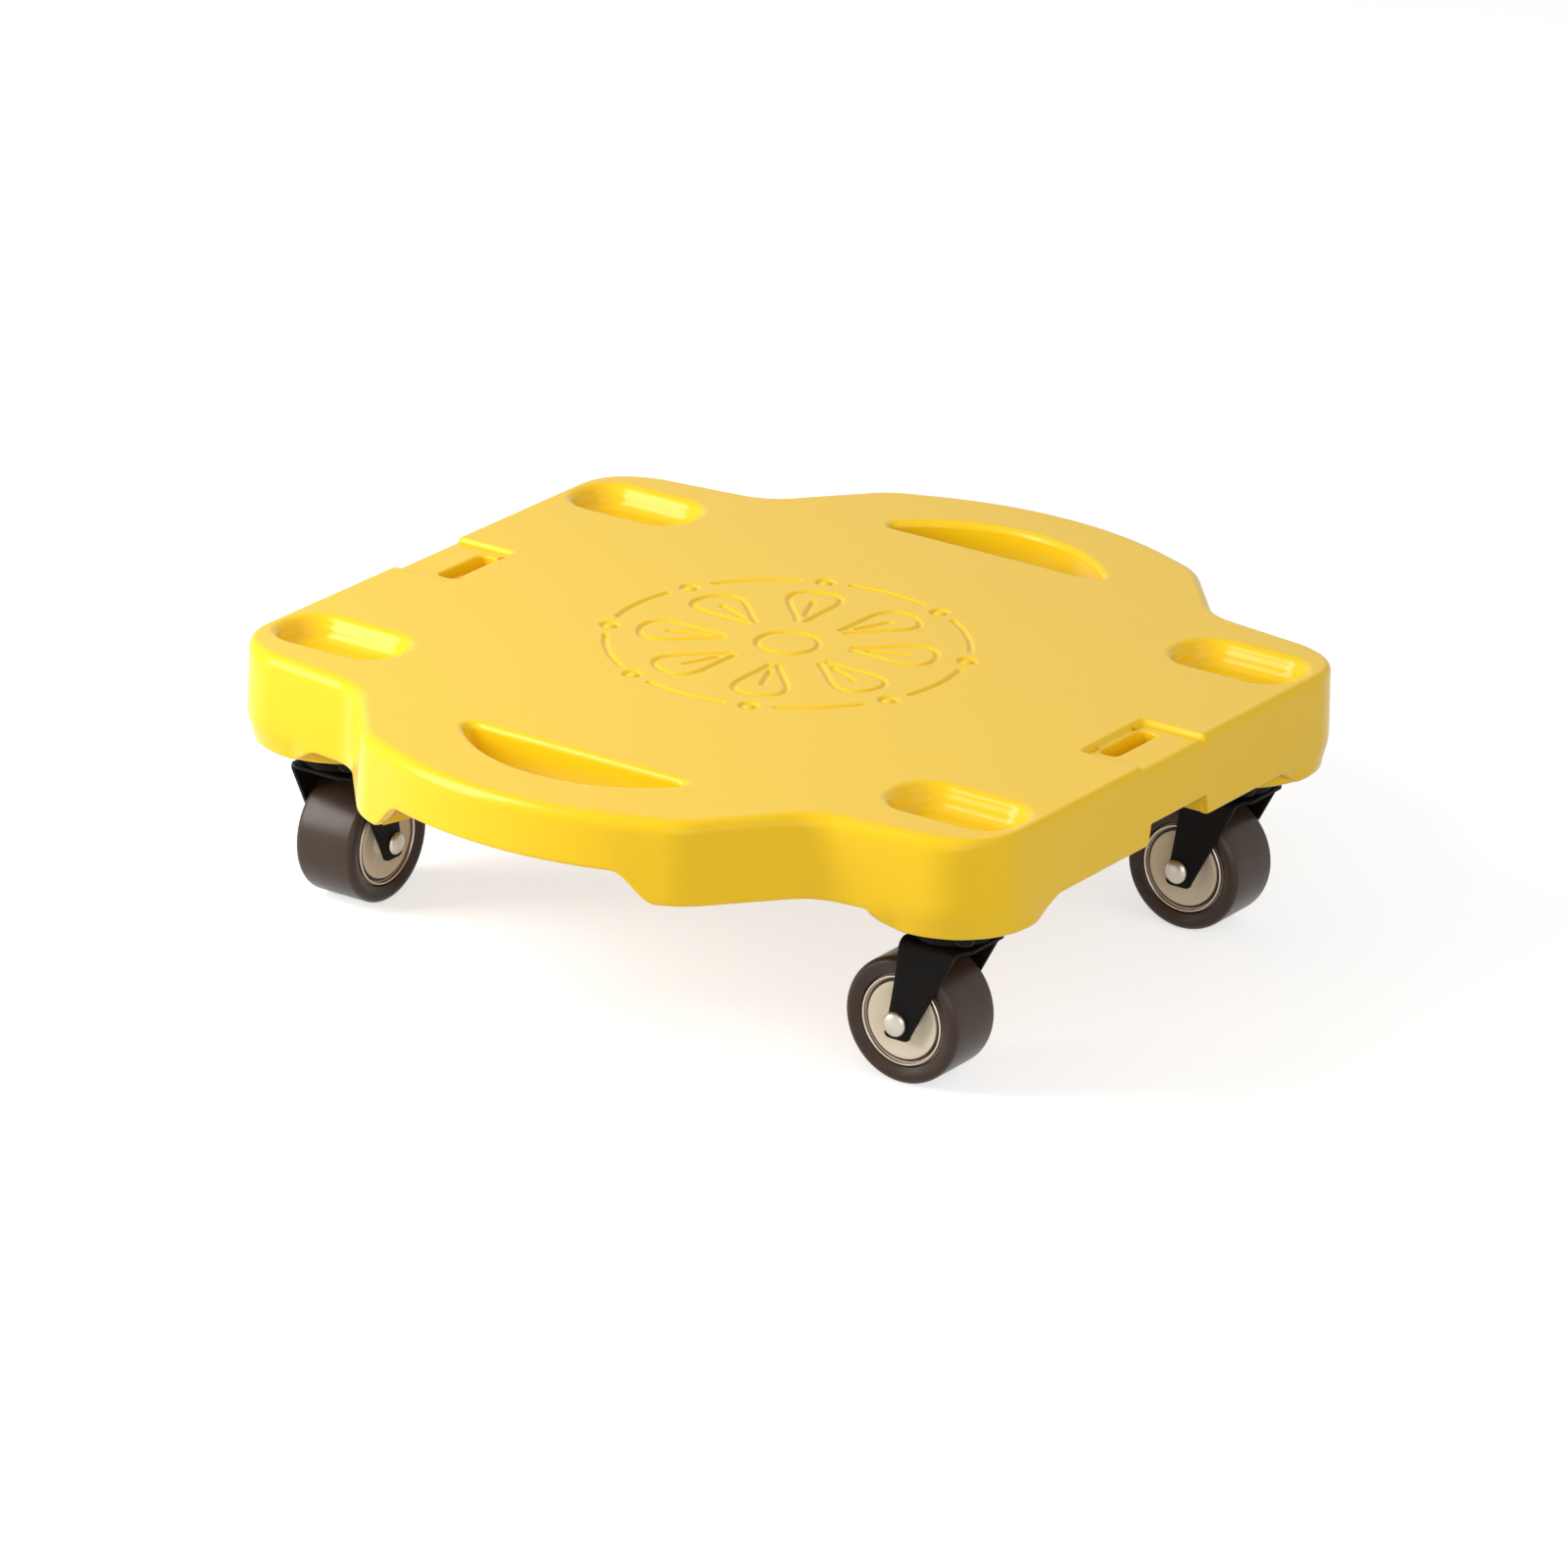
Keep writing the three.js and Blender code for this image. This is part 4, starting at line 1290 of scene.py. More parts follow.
@dataclass
class Deck:
    """The moulded deck: top with hand holes, slots and pockets, stepped skirt and ribbed underside."""

    palette: Palette
    top: float = 119.2
    skin: float = 4.0
    wall: float = 4.0
    edge: float = 6.0
    end_edge: float = 3.4
    edge_run: float = 20.0
    draft: float = 0.8
    lip: float = 1.4
    bevel: float = 0.6
    fillet: float = 2.0
    guard: float = 1.0
    end_guard: float = 0.2
    sharp: float = 50.0
    sink: float = 0.4
    overlap: float = 0.3
    join: float = 0.5
    pad_half: tuple[float, float] = (21.5, 21.0)
    pad_corner: float = 4.0
    pad_depth: float = 46.0
    pad_thickness: float = 7.0
    pad_web_half: float = 1.5
    boss_radius: float = 5.5
    post_round: float = 0.2
    rib_depth: float = 15.0
    rib_wall: float = 2.6
    rib_step: float = 0.25
    rib_near: float = 35.0
    rib_far: float = 104.0
    cup_depth: float = 43.2
    cup_wall: float = 3.4
    cup_round: float = 1.6
    cup_inset: float = 0.15
    web_wall: float = 2.8
    web_gap: float = 0.6
    web_round: float = 0.3
    web_corner: float = 0.5
    web_sink: float = 1.5
    web_depth: float = 34.6
    web_length: float = 28.0
    wing_web: tuple[float, float, float] = (65.8, 61.0, 15.0)
    outline: DeckOutline = field(default_factory=DeckOutline)
    skirt: SkirtEdge = field(default_factory=SkirtEdge)
    hand_hole: HandHole = field(default_factory=HandHole)
    pocket: NestPocket = field(default_factory=NestPocket)
    slot: StrapSlot = field(default_factory=StrapSlot)
    ornament: Ornament = field(default_factory=Ornament)

    def build(self) -> None:
        """Make the shell and the ribs under it and hand them over."""
        shell = self._shell()
        for corner in Corner:
            shell.join(self._pad().placed(corner.shift))
            shell.join(self._cup().placed(corner.shift))
        shell.join(self._webs())
        piece = shell.to_object("deck_shell", self.palette[Slot.DECK], self.sharp)
        hand_over(piece, "board", ["deck"])
        self._ribs()

    def _landing_drop(self, loop: Loop) -> np.ndarray:
        """How far the top lies lower because of the landings.

        Args:
            loop: Points on the top.

        Returns:
            One drop for each point.
        """
        ease = self.outline.landing_ease
        from_side = (self.outline.landing_half + ease - np.abs(loop[:, 1])) / (2 * ease)
        from_back = (np.abs(loop[:, 0]) - self.slot.landing_x + ease) / (2 * ease)
        return self.slot.landing_depth * smooth(from_side) * smooth(from_back)

    def _shell(self) -> MeshDraft:
        """The closed shell, from the top face over the edge and skirt to the underside.

        Returns:
            Its draft.
        """
        draft = MeshDraft()
        outline = self.outline.loop()
        top_ring, inner_ring = self._skirt_rings(draft, outline)
        landing = self.top - self.slot.landing_depth
        holes = []
        for sign in (1, -1):
            holes.append(self._opening(draft, self.hand_hole.loop() * sign, self.top, self.hand_hole))
            holes.append(self._opening(draft, self.slot.loop() * sign, landing, self.slot))
        for corner in Corner:
            loop = self.pocket.loop() + corner.place
            holes.append((self._pocket_top(draft, loop), self._pocket_under(draft, loop)))
        top_holes, under_holes = zip(*holes, strict=True)
        lines = self._landing_lines(draft, outline, top_ring) + self._grooves(draft)
        draft.fill(top_ring, top_holes, lines)
        draft.fill(inner_ring, under_holes)
        return draft

    def _skirt_rings(self, draft: MeshDraft, outline: Loop) -> tuple[list[int], list[int]]:
        """Rings from the top face round the skirt to the underside.

        Args:
            draft: Mesh to add to.
            outline: Outline of the deck.

        Returns:
            The ring where the top face starts and the ring where the underside starts.
        """
        low = self.skirt.depth(outline, self.outline.half_length)
        share = smooth((self.outline.half_length - np.abs(outline[:, 0])) / self.edge_run)
        edge = self.end_edge + (self.edge - self.end_edge) * share
        guard = self.end_guard + (self.guard - self.end_guard) * share
        drop = self._landing_drop(grown(outline, -edge))
        rings = [draft.ring(grown(outline, -edge - more), self.top - drop) for more in (guard, 0.0)]
        for out, down in eased(1.0, 7):
            inset = self.draft + (edge - self.draft) * out
            rings.append(draft.ring(grown(outline, -inset), self.top - drop - edge * down))
        start, knee = edge + drop, low - self.lip
        walls = []
        for share in self.skirt.outer_shares:
            walls.append((self.draft * (1 - share), start + (knee - start) * share))
        walls += [(inset, low - up) for up, inset in eased(self.lip, 4)]
        walls += [(self.wall - self.bevel, low), (self.wall, low - self.bevel)]
        high = self.skin + self.fillet
        for share in self.skirt.inner_shares:
            walls.append((self.wall, (low - self.bevel) * (1 - share) + high * share))
        for inset, depth in walls:
            rings.append(draft.ring(self.skirt.drawn(outline, inset, depth), self.top - depth))
        under = self.top - self.skin
        for more, down in ((0.7, 0.7), (self.fillet, 0.0), (self.fillet + 1.0, 0.0)):
            rings.append(draft.ring(grown(outline, -self.wall - more), under - down))
        draft.strips(rings)
        return rings[0], rings[-1]

    def _opening(
        self, draft: MeshDraft, loop: Loop, top: float, size: HandHole | StrapSlot
    ) -> tuple[list[int], list[int]]:
        """Rings of a hole through the deck with its rounded lip and its rim below.

        Args:
            draft: Mesh to add to.
            loop: Outline of the hole.
            top: Height of the face round it.
            size: Sizes of its lip and rim.

        Returns:
            The outermost ring on the top face and the one on the underside.
        """
        lip, rim = size.lip, size.rim_wall
        bottom, under = self.top - size.rim_depth, self.top - self.skin
        profile = [(lip + self.guard, top), (lip, top), *((out, top - down) for out, down in eased(lip, 6))]
        profile += [(0.0, (top - lip) * 0.4 + bottom * 0.6), (0.0, bottom + 0.8), (0.24, bottom + 0.24)]
        profile += [(0.8, bottom), (rim - self.bevel, bottom), (rim, bottom + self.bevel), (rim, under - 1.2)]
        profile += [(rim + 0.4, under - 0.4), (rim + 1.2, under), (rim + 2.0, under)]
        rings = draft.tube(loop, profile)
        return rings[0], rings[-1]

    def _pocket_top(self, draft: MeshDraft, loop: Loop) -> list[int]:
        """A nesting pocket seen from above, closed by its floor.

        Args:
            draft: Mesh to add to.
            loop: Outline of its side walls.

        Returns:
            Its outermost ring.
        """
        size = self.pocket
        rounded = eased(size.lip, 6, PI / 2 * size.lip_turn)
        profile = [(size.lip + size.guard, self.top), (size.lip, self.top)]
        profile += [(out, self.top - down) for out, down in rounded]
        floor = self.top - size.depth
        for angle in np.linspace(0.1, PI / 2, 8):
            into = size.taper + size.floor_round * (1 - math.cos(angle))
            profile.append((-into, floor + size.floor_round * (1 - math.sin(angle))))
        profile.append((-size.taper - size.floor_round - self.guard, floor))
        rings = draft.tube(loop, profile)
        draft.fill(rings[-1])
        return rings[0]

    def _pocket_under(self, draft: MeshDraft, loop: Loop) -> list[int]:
        """The bowl of a pocket under the skin, closed below.

        Args:
            draft: Mesh to add to.
            loop: Outline of the pocket's side walls.

        Returns:
            Its outermost ring.
        """
        wall, under = self.pocket.wall, self.top - self.skin
        low = self.top - self.pocket.depth - wall
        profile = [(wall + 2.0, under, 3.2), (wall + 1.2, under, 3.7), (wall + 0.4, under - 0.4, 3.4)]
        profile += [(wall, under - 1.2, 2.6), (wall - 0.6, low + 1.6, -1.0), (wall - 1.2, low + 0.5, -1.0)]
        profile += [(wall - 2.4, low, -1.0), (wall - 3.2, low, -1.0)]
        rings = []
        for out, height, clear in profile:
            rings.append(draft.ring(self.outline.held(grown(loop, out), self.wall + clear), height))
        draft.strips(rings)
        draft.fill(rings[-1])
        return rings[0]

    def _landing_lines(
        self, draft: MeshDraft, outline: Loop, top_ring: Sequence[int]
    ) -> list[tuple[Sequence[int], bool]]:
        """Lines along the edge of each landing, which end on the points of the top ring.

        Args:
            draft: Mesh to add to.
            outline: Outline of the deck.
            top_ring: Ring where the top face starts.

        Returns:
            Each line with False, because it is open.
        """
        made: list[tuple[Sequence[int], bool]] = []
        size, end = self.slot, self.outline.half_length
        edge_x = end - self.end_edge - self.end_guard - 2.0
        for sign in (1, -1):
            for share in self.outline.landing_marks:
                out = share * self.outline.landing_ease
                half_y, radius = self.outline.landing_half + out, size.landing_corner + out
                centre_x = size.landing_x - out + radius
                bend = arc_points(centre_x, half_y - radius, radius, PI / 2, PI, 6)
                upper = np.vstack([[[edge_x, half_y]], bend])
                path = np.vstack([upper, upper[::-1] * np.array([1.0, -1.0])]) * sign
                inner = draft.ring(path, self.top - size.landing_depth * float(smooth((1.0 - share) / 2)))
                first, last = (
                    self._nearest(outline, top_ring, end * sign, y * sign) for y in (half_y, -half_y)
                )
                made.append(([first, *inner, last], False))
        return made

    @staticmethod
    def _nearest(outline: Loop, ring: Sequence[int], x: float, y: float) -> int:
        """Number of the ring's point whose outline point is nearest to a place."""
        away = np.hypot(outline[:, 0] - x, outline[:, 1] - y)
        return ring[int(np.argmin(away))]

    def _grooves(self, draft: MeshDraft) -> list[tuple[Sequence[int], bool]]:
        """Contours of the engraved strokes with their depths.

        Args:
            draft: Mesh to add to.

        Returns:
            Each contour with True, because it is closed.
        """
        art = self.ornament
        return [
            (draft.ring(loop, self.top - art.depth * down), True)
            for line, closed in art.strokes()
            for out, down in art.section
            for loop in art.contours(line, closed, art.half_width * out)
        ]

    def _pad(self) -> MeshDraft:
        """A caster pad with its crossed webs and screw bosses.

        Returns:
            Its draft about the upright axis.
        """
        bottom = self.top - self.pad_depth
        pad = MeshDraft()
        pad.prism(rectangle(*self.pad_half, self.pad_corner, 8), bottom, bottom + self.pad_thickness, 0.8)
        low = bottom + self.pad_thickness - self.sink
        high = self.top - self.pocket.depth - self.pocket.wall + self.overlap
        half_x, half_y = (half - 1.0 for half in self.pad_half)
        posts = [rectangle(half_x, self.pad_web_half, 0.3, 2), rectangle(self.pad_web_half, half_y, 0.3, 2)]
        posts += [circle(self.boss_radius, 28) + spot for spot in four_ways(SCREW_AT, SCREW_AT)]
        for post in posts:
            pad.prism(post, low, high, self.post_round)
        return pad

    def _cup(self) -> MeshDraft:
        """The round wall about a caster, which shows below the skirt of its lobe.

        Returns:
            Its draft about the upright axis.
        """
        outer = self.skirt.cup_radius - self.cup_inset
        inner, turn = outer - self.cup_wall, self.cup_round
        low, high = self.top - self.cup_depth, self.top - self.skin + self.sink
        knee = self.top - self.skirt.turn_from
        profile = [(inner + 0.4, high), (inner + 1.8, high), (inner + 2.0, knee), (outer - 0.25, low + 4.2)]
        profile += [*arc_points(outer - turn, low + turn, turn, 0.0, -PI / 2, 5)]
        profile += [*arc_points(inner + turn, low + turn, turn, -PI / 2, -PI, 5), (inner - 0.6, knee)]
        return lathe(profile, 120, closed=True)

    def _webs(self) -> MeshDraft:
        """Upright webs beside the end notches and inside the steps of the wings.

        Returns:
            Their draft.
        """
        half, gap = self.web_wall / 2, self.web_gap
        middle_x = self.outline.half_length - self.wall - self.web_length / 2 + self.web_sink
        cheek = rectangle(self.web_length / 2, half, self.web_corner, 3)
        loops = []
        for y in (self.skirt.notch_near - half - gap, self.skirt.notch_far + half + gap):
            spot = np.array([middle_x, y])
            loops += [cheek + spot, cheek - spot]
        outer_x, inner_x, run = self.wing_web
        outer_y = self._wall_y(outer_x) + 1.0
        ends = zip(four_ways(outer_x, outer_y), four_ways(inner_x, outer_y - run), strict=True)
        loops += [self._bar(start, end) for start, end in ends]
        webs = MeshDraft()
        for loop in loops:
            webs.prism(loop, self.top - self.web_depth, self.top - self.skin + self.sink, self.web_round)
        return webs

    def _bar(self, start: np.ndarray, end: np.ndarray) -> Loop:
        """Outline of a straight web.

        Args:
            start: Middle of one end.
            end: Middle of the other end.

        Returns:
            Its points.
        """
        run = end - start
        length, angle = float(np.linalg.norm(run)), math.atan2(run[1], run[0])
        turn = np.array([[math.cos(angle), math.sin(angle)], [-math.sin(angle), math.cos(angle)]])
        return rectangle(length / 2, self.web_wall / 2, self.web_corner, 3) @ turn + (start + end) / 2

    def _ribs(self) -> None:
        """The rib network under the skin, swept along its centre lines by Geometry Nodes."""
        sizes = {"Rib Wall": self.rib_wall * MM, "Rib Depth": self.rib_depth * MM}
        tree = GeometryTree("rib_network", sizes)
        lines = tree.add("GeometryNodeMeshToCurve", {"Mesh": tree.inputs["Geometry"]}).outputs[0]
        feeds = {"Width": tree.inputs["Rib Wall"], "Height": tree.inputs["Rib Depth"]}
        tree.sweep(lines, tree.add("GeometryNodeCurvePrimitiveQuadrilateral", feeds).outputs[0], capped=True)
        level = self.top - self.skin - self.rib_depth / 2 + self.overlap
        points = []
        for start, end in self._rib_lines():
            height = level + self.rib_step * (start[0] == end[0])
            points += [(*start, height), (*end, height)]
        source = new_mesh("rib_lines", points, [(i, i + 1) for i in range(0, len(points), 2)])
        mesh = tree.mesh("deck_ribs", source, self.palette[Slot.DECK])
        piece = finish_mesh("deck_ribs", mesh, self.palette[Slot.DECK])
        hand_over(piece, "board", [])

    def _rib_lines(self) -> list[tuple[tuple[float, float], tuple[float, float]]]:
        """Ribs between the walls, the pocket bowls and the rims of the hand holes.

        Returns:
            Both ends of each rib.
        """
        hole, join = self.hand_hole, self.join
        end_x = self.outline.half_length - self.wall + join
        bowl_x = CASTER_AT[0] - self.pocket.half_x + self.pocket.lip - self.pocket.wall + join
        lines = [
            ((-x, side * y), (x, side * y))
            for x, y in ((end_x, self.rib_near), (bowl_x, CASTER_AT[1]))
            for side in (-1, 1)
        ]
        inner = hole.inner_y - hole.rim_wall + join
        rise = math.sqrt((hole.arc_radius + hole.rim_wall) ** 2 - self.rib_near**2)
        outer = hole.outer_y - hole.arc_radius + rise - join
        for x in (-self.rib_near, self.rib_near):
            lines.append(((x, -inner), (x, inner)))
            lines.extend(((x, sign * outer), (x, sign * self._wall_y(x))) for sign in (-1, 1))
        for x in (-self.rib_far, self.rib_far):
            wall = self._wall_y(x)
            lines.append(((x, -wall), (x, wall)))
        return lines

    def _wall_y(self, x: float) -> float:
        """Where the skirt's inner face is in the back wing.

        Args:
            x: Place along X.

        Returns:
            Place along Y, just inside the wall's thickness.
        """
        inner = grown(self.outline.loop(), -self.wall)
        back = inner[inner[:, 1] > self.lobe_limit]
        return float(back[np.argmin(np.abs(back[:, 0] - x)), 1]) + self.join

    @property
    def lobe_limit(self) -> float:
        """Height along Y above which only the back side of the outline lies."""
        return self.outline.lobe_half_width - self.outline.lobe_radius


@dataclass
class CasterMount:
    """Plates, ball races, king pins and screws that hold the casters to the deck, in millimetres."""

    palette: Palette
    plate_top: float = 73.0
    plate_thickness: float = 2.4
    plate_half: tuple[float, float] = (20.5, 20.3)
    plate_corner: float = 3.5
    plate_hole: float = 2.5
    seat_gap: float = 0.2
    race_radius: float = 17.0
    race_height: float = 5.6
    race_bore: float = 6.3
    race_lip: float = 1.0
    pin_radius: float = 4.4
    pin_head: float = 7.0
    pin_head_top: float = 62.2
    pin_head_height: float = 2.6
    screw_head: float = 4.2
    screw_head_height: float = 2.2
    cross_waist: float = 0.55
    screw_radius: float = 2.1
    screw_length: float = 13.8

    @property
    def plate_low(self) -> float:
        """Height of the plate's lower face."""
        return self.plate_top - self.plate_thickness

    def build(self) -> None:
        """Make the mount of each caster and the set of screws."""
        for corner in Corner:
            self._give(self._plate(), corner, "mount_plate", "plate")
            self._give(self._race(), corner, "ball_race", "race")
            self._give(self._pin(), corner, "swivel_pin", "king_pin")
        self._screws()

    def _give(self, draft: MeshDraft, corner: Corner, name: str, node: str) -> None:
        """Place a draft under its corner of the deck and hand it over."""
        piece = draft.placed(corner.shift).to_object(f"{name}_{corner.tag}", self.palette[Slot.STEEL])
        hand_over(piece, "board", [f"{node}_{corner.tag}"])

    def _plate(self) -> MeshDraft:
        """The stamped mounting plate with its bore and four screw holes.

        Returns:
            Its draft about the upright axis.
        """
        draft = MeshDraft()
        low, top = self.plate_low, self.plate_top
        edge = [(-0.7, top), (-0.2, top - 0.2), (0.0, top - 0.7), (0.0, low + 0.7), (-0.2, low + 0.2)]
        edge += [(-0.7, low), (-1.5, low)]
        rings = draft.tube(rectangle(*self.plate_half, self.plate_corner, 12), edge)
        bore = [(0.8, low), (0.0, low + 0.3), (0.0, top - 0.3), (0.8, top)]
        tubes = [draft.tube(circle(self.race_bore, 48), bore)]
        for spot in four_ways(SCREW_AT, SCREW_AT):
            hole = circle(self.plate_hole, 24) + spot
            tubes.append(draft.tube(hole, [(0.3, low), (0.0, low + 0.3), (0.0, top)]))
        draft.fill(rings[-1], [tube[0] for tube in tubes])
        draft.fill(rings[0], [tube[-1] for tube in tubes])
        return draft

    def _race(self) -> MeshDraft:
        """The pressed ball race housing with rolled edges.

        Returns:
            Its draft about the upright axis.
        """
        top = self.plate_low - self.seat_gap
        low = top - self.race_height
        bore, radius, lip = self.race_bore, self.race_radius, self.race_lip
        profile = [(bore, low), (radius - 3.2, low), (radius - 2.8, low + 0.5), (radius - 2.2, low + 0.5)]
        profile += [(radius - 1.8, low), *arc_points(radius - lip, low + lip, lip, -PI / 2, 0.0, 5)]
        profile += [*arc_points(radius - 1.2, top - 3.0, 1.2, 0.0, PI * 0.3, 4)]
        profile += [(radius - 3.1, top - 0.5), (radius - 3.5, top), (bore, top)]
        return lathe(profile, 72, closed=True)

    def _pin(self) -> MeshDraft:
        """The riveted king pin, with its domed head under the fork's crown.

        Returns:
            Its draft about the upright axis.
        """
        pin, head, top = self.pin_radius, self.pin_head, self.pin_head_top
        low, cap = top - self.pin_head_height, self.plate_top + self.seat_gap
        profile = [(0.0, low), (2.0, low), (2.6, low + 0.1), (4.8, low + 0.25), (6.2, low + 0.9)]
        profile += [(head - 0.1, low + 1.9), (head, top - 0.2), (head - 0.2, top), (pin, top), (pin, cap)]
        profile += [(head + 0.3, cap), (head + 0.5, cap + 0.3), (head - 0.2, cap + 1.5)]
        profile += [(4.8, cap + 2.3), (2.6, cap + 2.4), (2.2, cap + 1.6), (0.0, cap + 1.6)]
        return lathe(profile, 40)

    def _screw(self) -> bpy.types.Mesh:
        """One pan-head screw with a cross recess.

        Returns:
            Its mesh at the origin.
        """
        seat = self.plate_low - self.seat_gap
        low = seat - self.screw_head_height
        head, shank, end = self.screw_head, self.screw_radius, seat + self.screw_length
        draft = MeshDraft()
        angles = np.arange(32) * 2 * PI / 32
        arms = (1 - self.cross_waist) * np.abs(np.cos(2 * angles)) ** 3
        cross = (self.cross_waist + arms)[:, None]
        around = circle(1.0, 32)
        bands = [(0.9 * cross, low + 1.2), (2.3 * cross, low + 0.06), (3.0, low + 0.08), (3.7, low + 0.5)]
        bands += [(head - 0.1, low + 1.1), (head, seat - 0.2), (head - 0.1, seat), (shank, seat)]
        bands += [(shank, end - 2.8), (0.5, end)]
        rings = [draft.ring(around * radius, height) for radius, height in bands]
        draft.strips(rings)
        draft.fill(rings[0])
        draft.fill(rings[-1])
        return new_mesh("one_screw", draft.points, faces=draft.faces)

    def _screws(self) -> None:
        """All sixteen screws, placed by two nested grids in Geometry Nodes."""
        pitches = {"Screw": (SCREW_AT, SCREW_AT), "Caster": CASTER_AT}
        sizes = {
            f"{label} Pitch {axis}": 2 * half * MM
            for label, halves in pitches.items()
            for axis, half in zip("XY", halves, strict=True)
        }
        tree = GeometryTree("screw_set", sizes)
        one = tree.inputs["Geometry"]
        for label in pitches:
            feeds = {f"Size {axis}": tree.inputs[f"{label} Pitch {axis}"] for axis in "XY"}
            grid = tree.add("GeometryNodeMeshGrid", {**feeds, "Vertices X": 2, "Vertices Y": 2}).outputs[0]
            spread = tree.add("GeometryNodeInstanceOnPoints", {"Points": grid, "Instance": one}).outputs[0]
            one = tree.add("GeometryNodeRealizeInstances", {"Geometry": spread}).outputs[0]
        tree.close(one)
        mesh = tree.mesh("mount_screws", self._screw(), self.palette[Slot.STEEL])
        piece = finish_mesh("mount_screws", mesh, self.palette[Slot.STEEL])
        nodes = [f"screw_{number}_{corner.tag}" for corner in Corner for number in range(1, 5)]
        hand_over(piece, "board", nodes)


@dataclass
class Caster:
    """The swivelling fork with its axle and the wheel that turns on it, in millimetres."""

    palette: Palette
    corner: Corner
    trail: float = 14.5
    wheel_radius: float = 27.0
    half_width: float = 15.0
    tyre_shoulder: float = 3.0
    face_inset: float = 1.4
    hub_radius: float = 19.5
    trim_inner: float = 18.1
    trim_height: float = 1.2
    groove_inner: float = 16.5
    rim_inset: float = 1.1
    disc_height: float = 0.95
    tyre_facets: int = 112
    leg_inner: float = 15.8
    leg_outer: float = 17.8
    fork_top: float = 64.5
    fork_under: float = 62.5
    fork_front: float = 17.0
    fork_back: float = 14.5
    back_bow: float = 1.2
    knee_x: float = 11.5
    knee_drop: float = 2.5
    back_at_end: float = 5.5
    front_at_end: float = 6.5
    end_drop: float = 6.8
    end_round: float = 2.0
    front_curl: float = 1.6
    bend_radius: float = 3.6
    rolled_edge: float = 0.7
    rolled_by: float = 0.35
    seat_gap: float = 0.2
    bolt_head: float = 4.9
    bolt_dome: float = 1.9
    bolt_radius: float = 3.2
    bolt_past: float = 2.2
    nut_radius: float = 5.2
    nut_height: float = 3.0
    nut_dome: float = 2.2
    collar_radius: float = 6.1
    bore_radius: float = 3.6
    hub_facets: int = 96

    def build(self) -> None:
        """Make the fork group and the wheel group and hand them over."""
        self._give(self._fork().placed(self._place()), "swivel_fork", "swivel", Slot.STEEL, ["fork"])
        self._give(self._bolt().placed(self._on_axle()), "axle_bolt", "swivel", Slot.ZINC, ["axle"])
        self._give(self._nut().placed(self._on_axle()), "cap_nut", "swivel", Slot.ZINC, ["nut"])
        self._tyre()
        self._give(self._hub().placed(self._on_axle()), "wheel_hub", "wheel", Slot.HUB, ["hub"])
        # Dark rings in the hub's grooves, as painted shade of the grooves.
        self._give(self._seals().placed(self._on_axle()), "groove_shade_ring", "wheel", Slot.TYRE, [])
        for end, side in (("a", -1), ("b", 1)):
            ring = self._trim(side).placed(self._on_axle())
            self._give(ring, f"trim_ring_{end}", "wheel", Slot.TRIM, [f"trim_{end}"])

    def _place(self) -> Matrix:
        """Matrix from the caster's own place to the deck's corner, with the fork's heading."""
        return self.corner.shift @ Matrix.Rotation(self.corner.heading, 4, "Z")

    def _on_axle(self) -> Matrix:
        """Matrix that lays an upright turned part on the axle."""
        lay = Matrix.Rotation(PI / 2, 4, "X")
        return self._place() @ Matrix.Translation((-self.trail, 0.0, self.wheel_radius)) @ lay

    def _give(self, draft: MeshDraft, name: str, body: str, slot: Slot, nodes: Sequence[str]) -> None:
        """Make the object of a placed draft and hand it over."""
        piece = draft.to_object(f"{name}_{self.corner.tag}", self.palette[slot])
        hand_over(piece, f"{body}_{self.corner.tag}", [f"{node}_{self.corner.tag}" for node in nodes])

    def _side_edges(self, height: float) -> tuple[float, float]:
        """Edges of the fork's leg at a height.

        Args:
            height: Height above the floor.

        Returns:
            Place of the back edge and of the front edge along the fork.
        """
        knee_z = self.fork_under - self.knee_drop
        corner_z = self.end_z + self.end_round
        back_low = -self.trail - self.back_at_end
        front_low = -self.trail + self.front_at_end
        share = min(max((height - corner_z) / (self.fork_under - corner_z), 0.0), 1.0)
        bowed = -(self.fork_back + self.back_bow)
        back = back_low * (1 - share) ** 2 + bowed * 2 * share * (1 - share) - self.fork_back * share**2
        if height >= knee_z:
            rise = min((height - knee_z) / self.knee_drop, 1.0)
            front = self.knee_x + (self.fork_front - self.knee_x) * rise**self.front_curl
        else:
            rise = max(height - corner_z, 0.0) / (knee_z - corner_z)
            front = front_low + (self.knee_x - front_low) * rise
        if height < corner_z:
            down = min((corner_z - height) / self.end_round, 1.0)
            pinch = self.end_round * (1 - math.sqrt(1 - down * down))
            back, front = back + pinch, front - pinch
        return back, front

    @property
    def end_z(self) -> float:
        """Height of the lower ends of the fork's legs."""
        return self.wheel_radius - self.end_drop

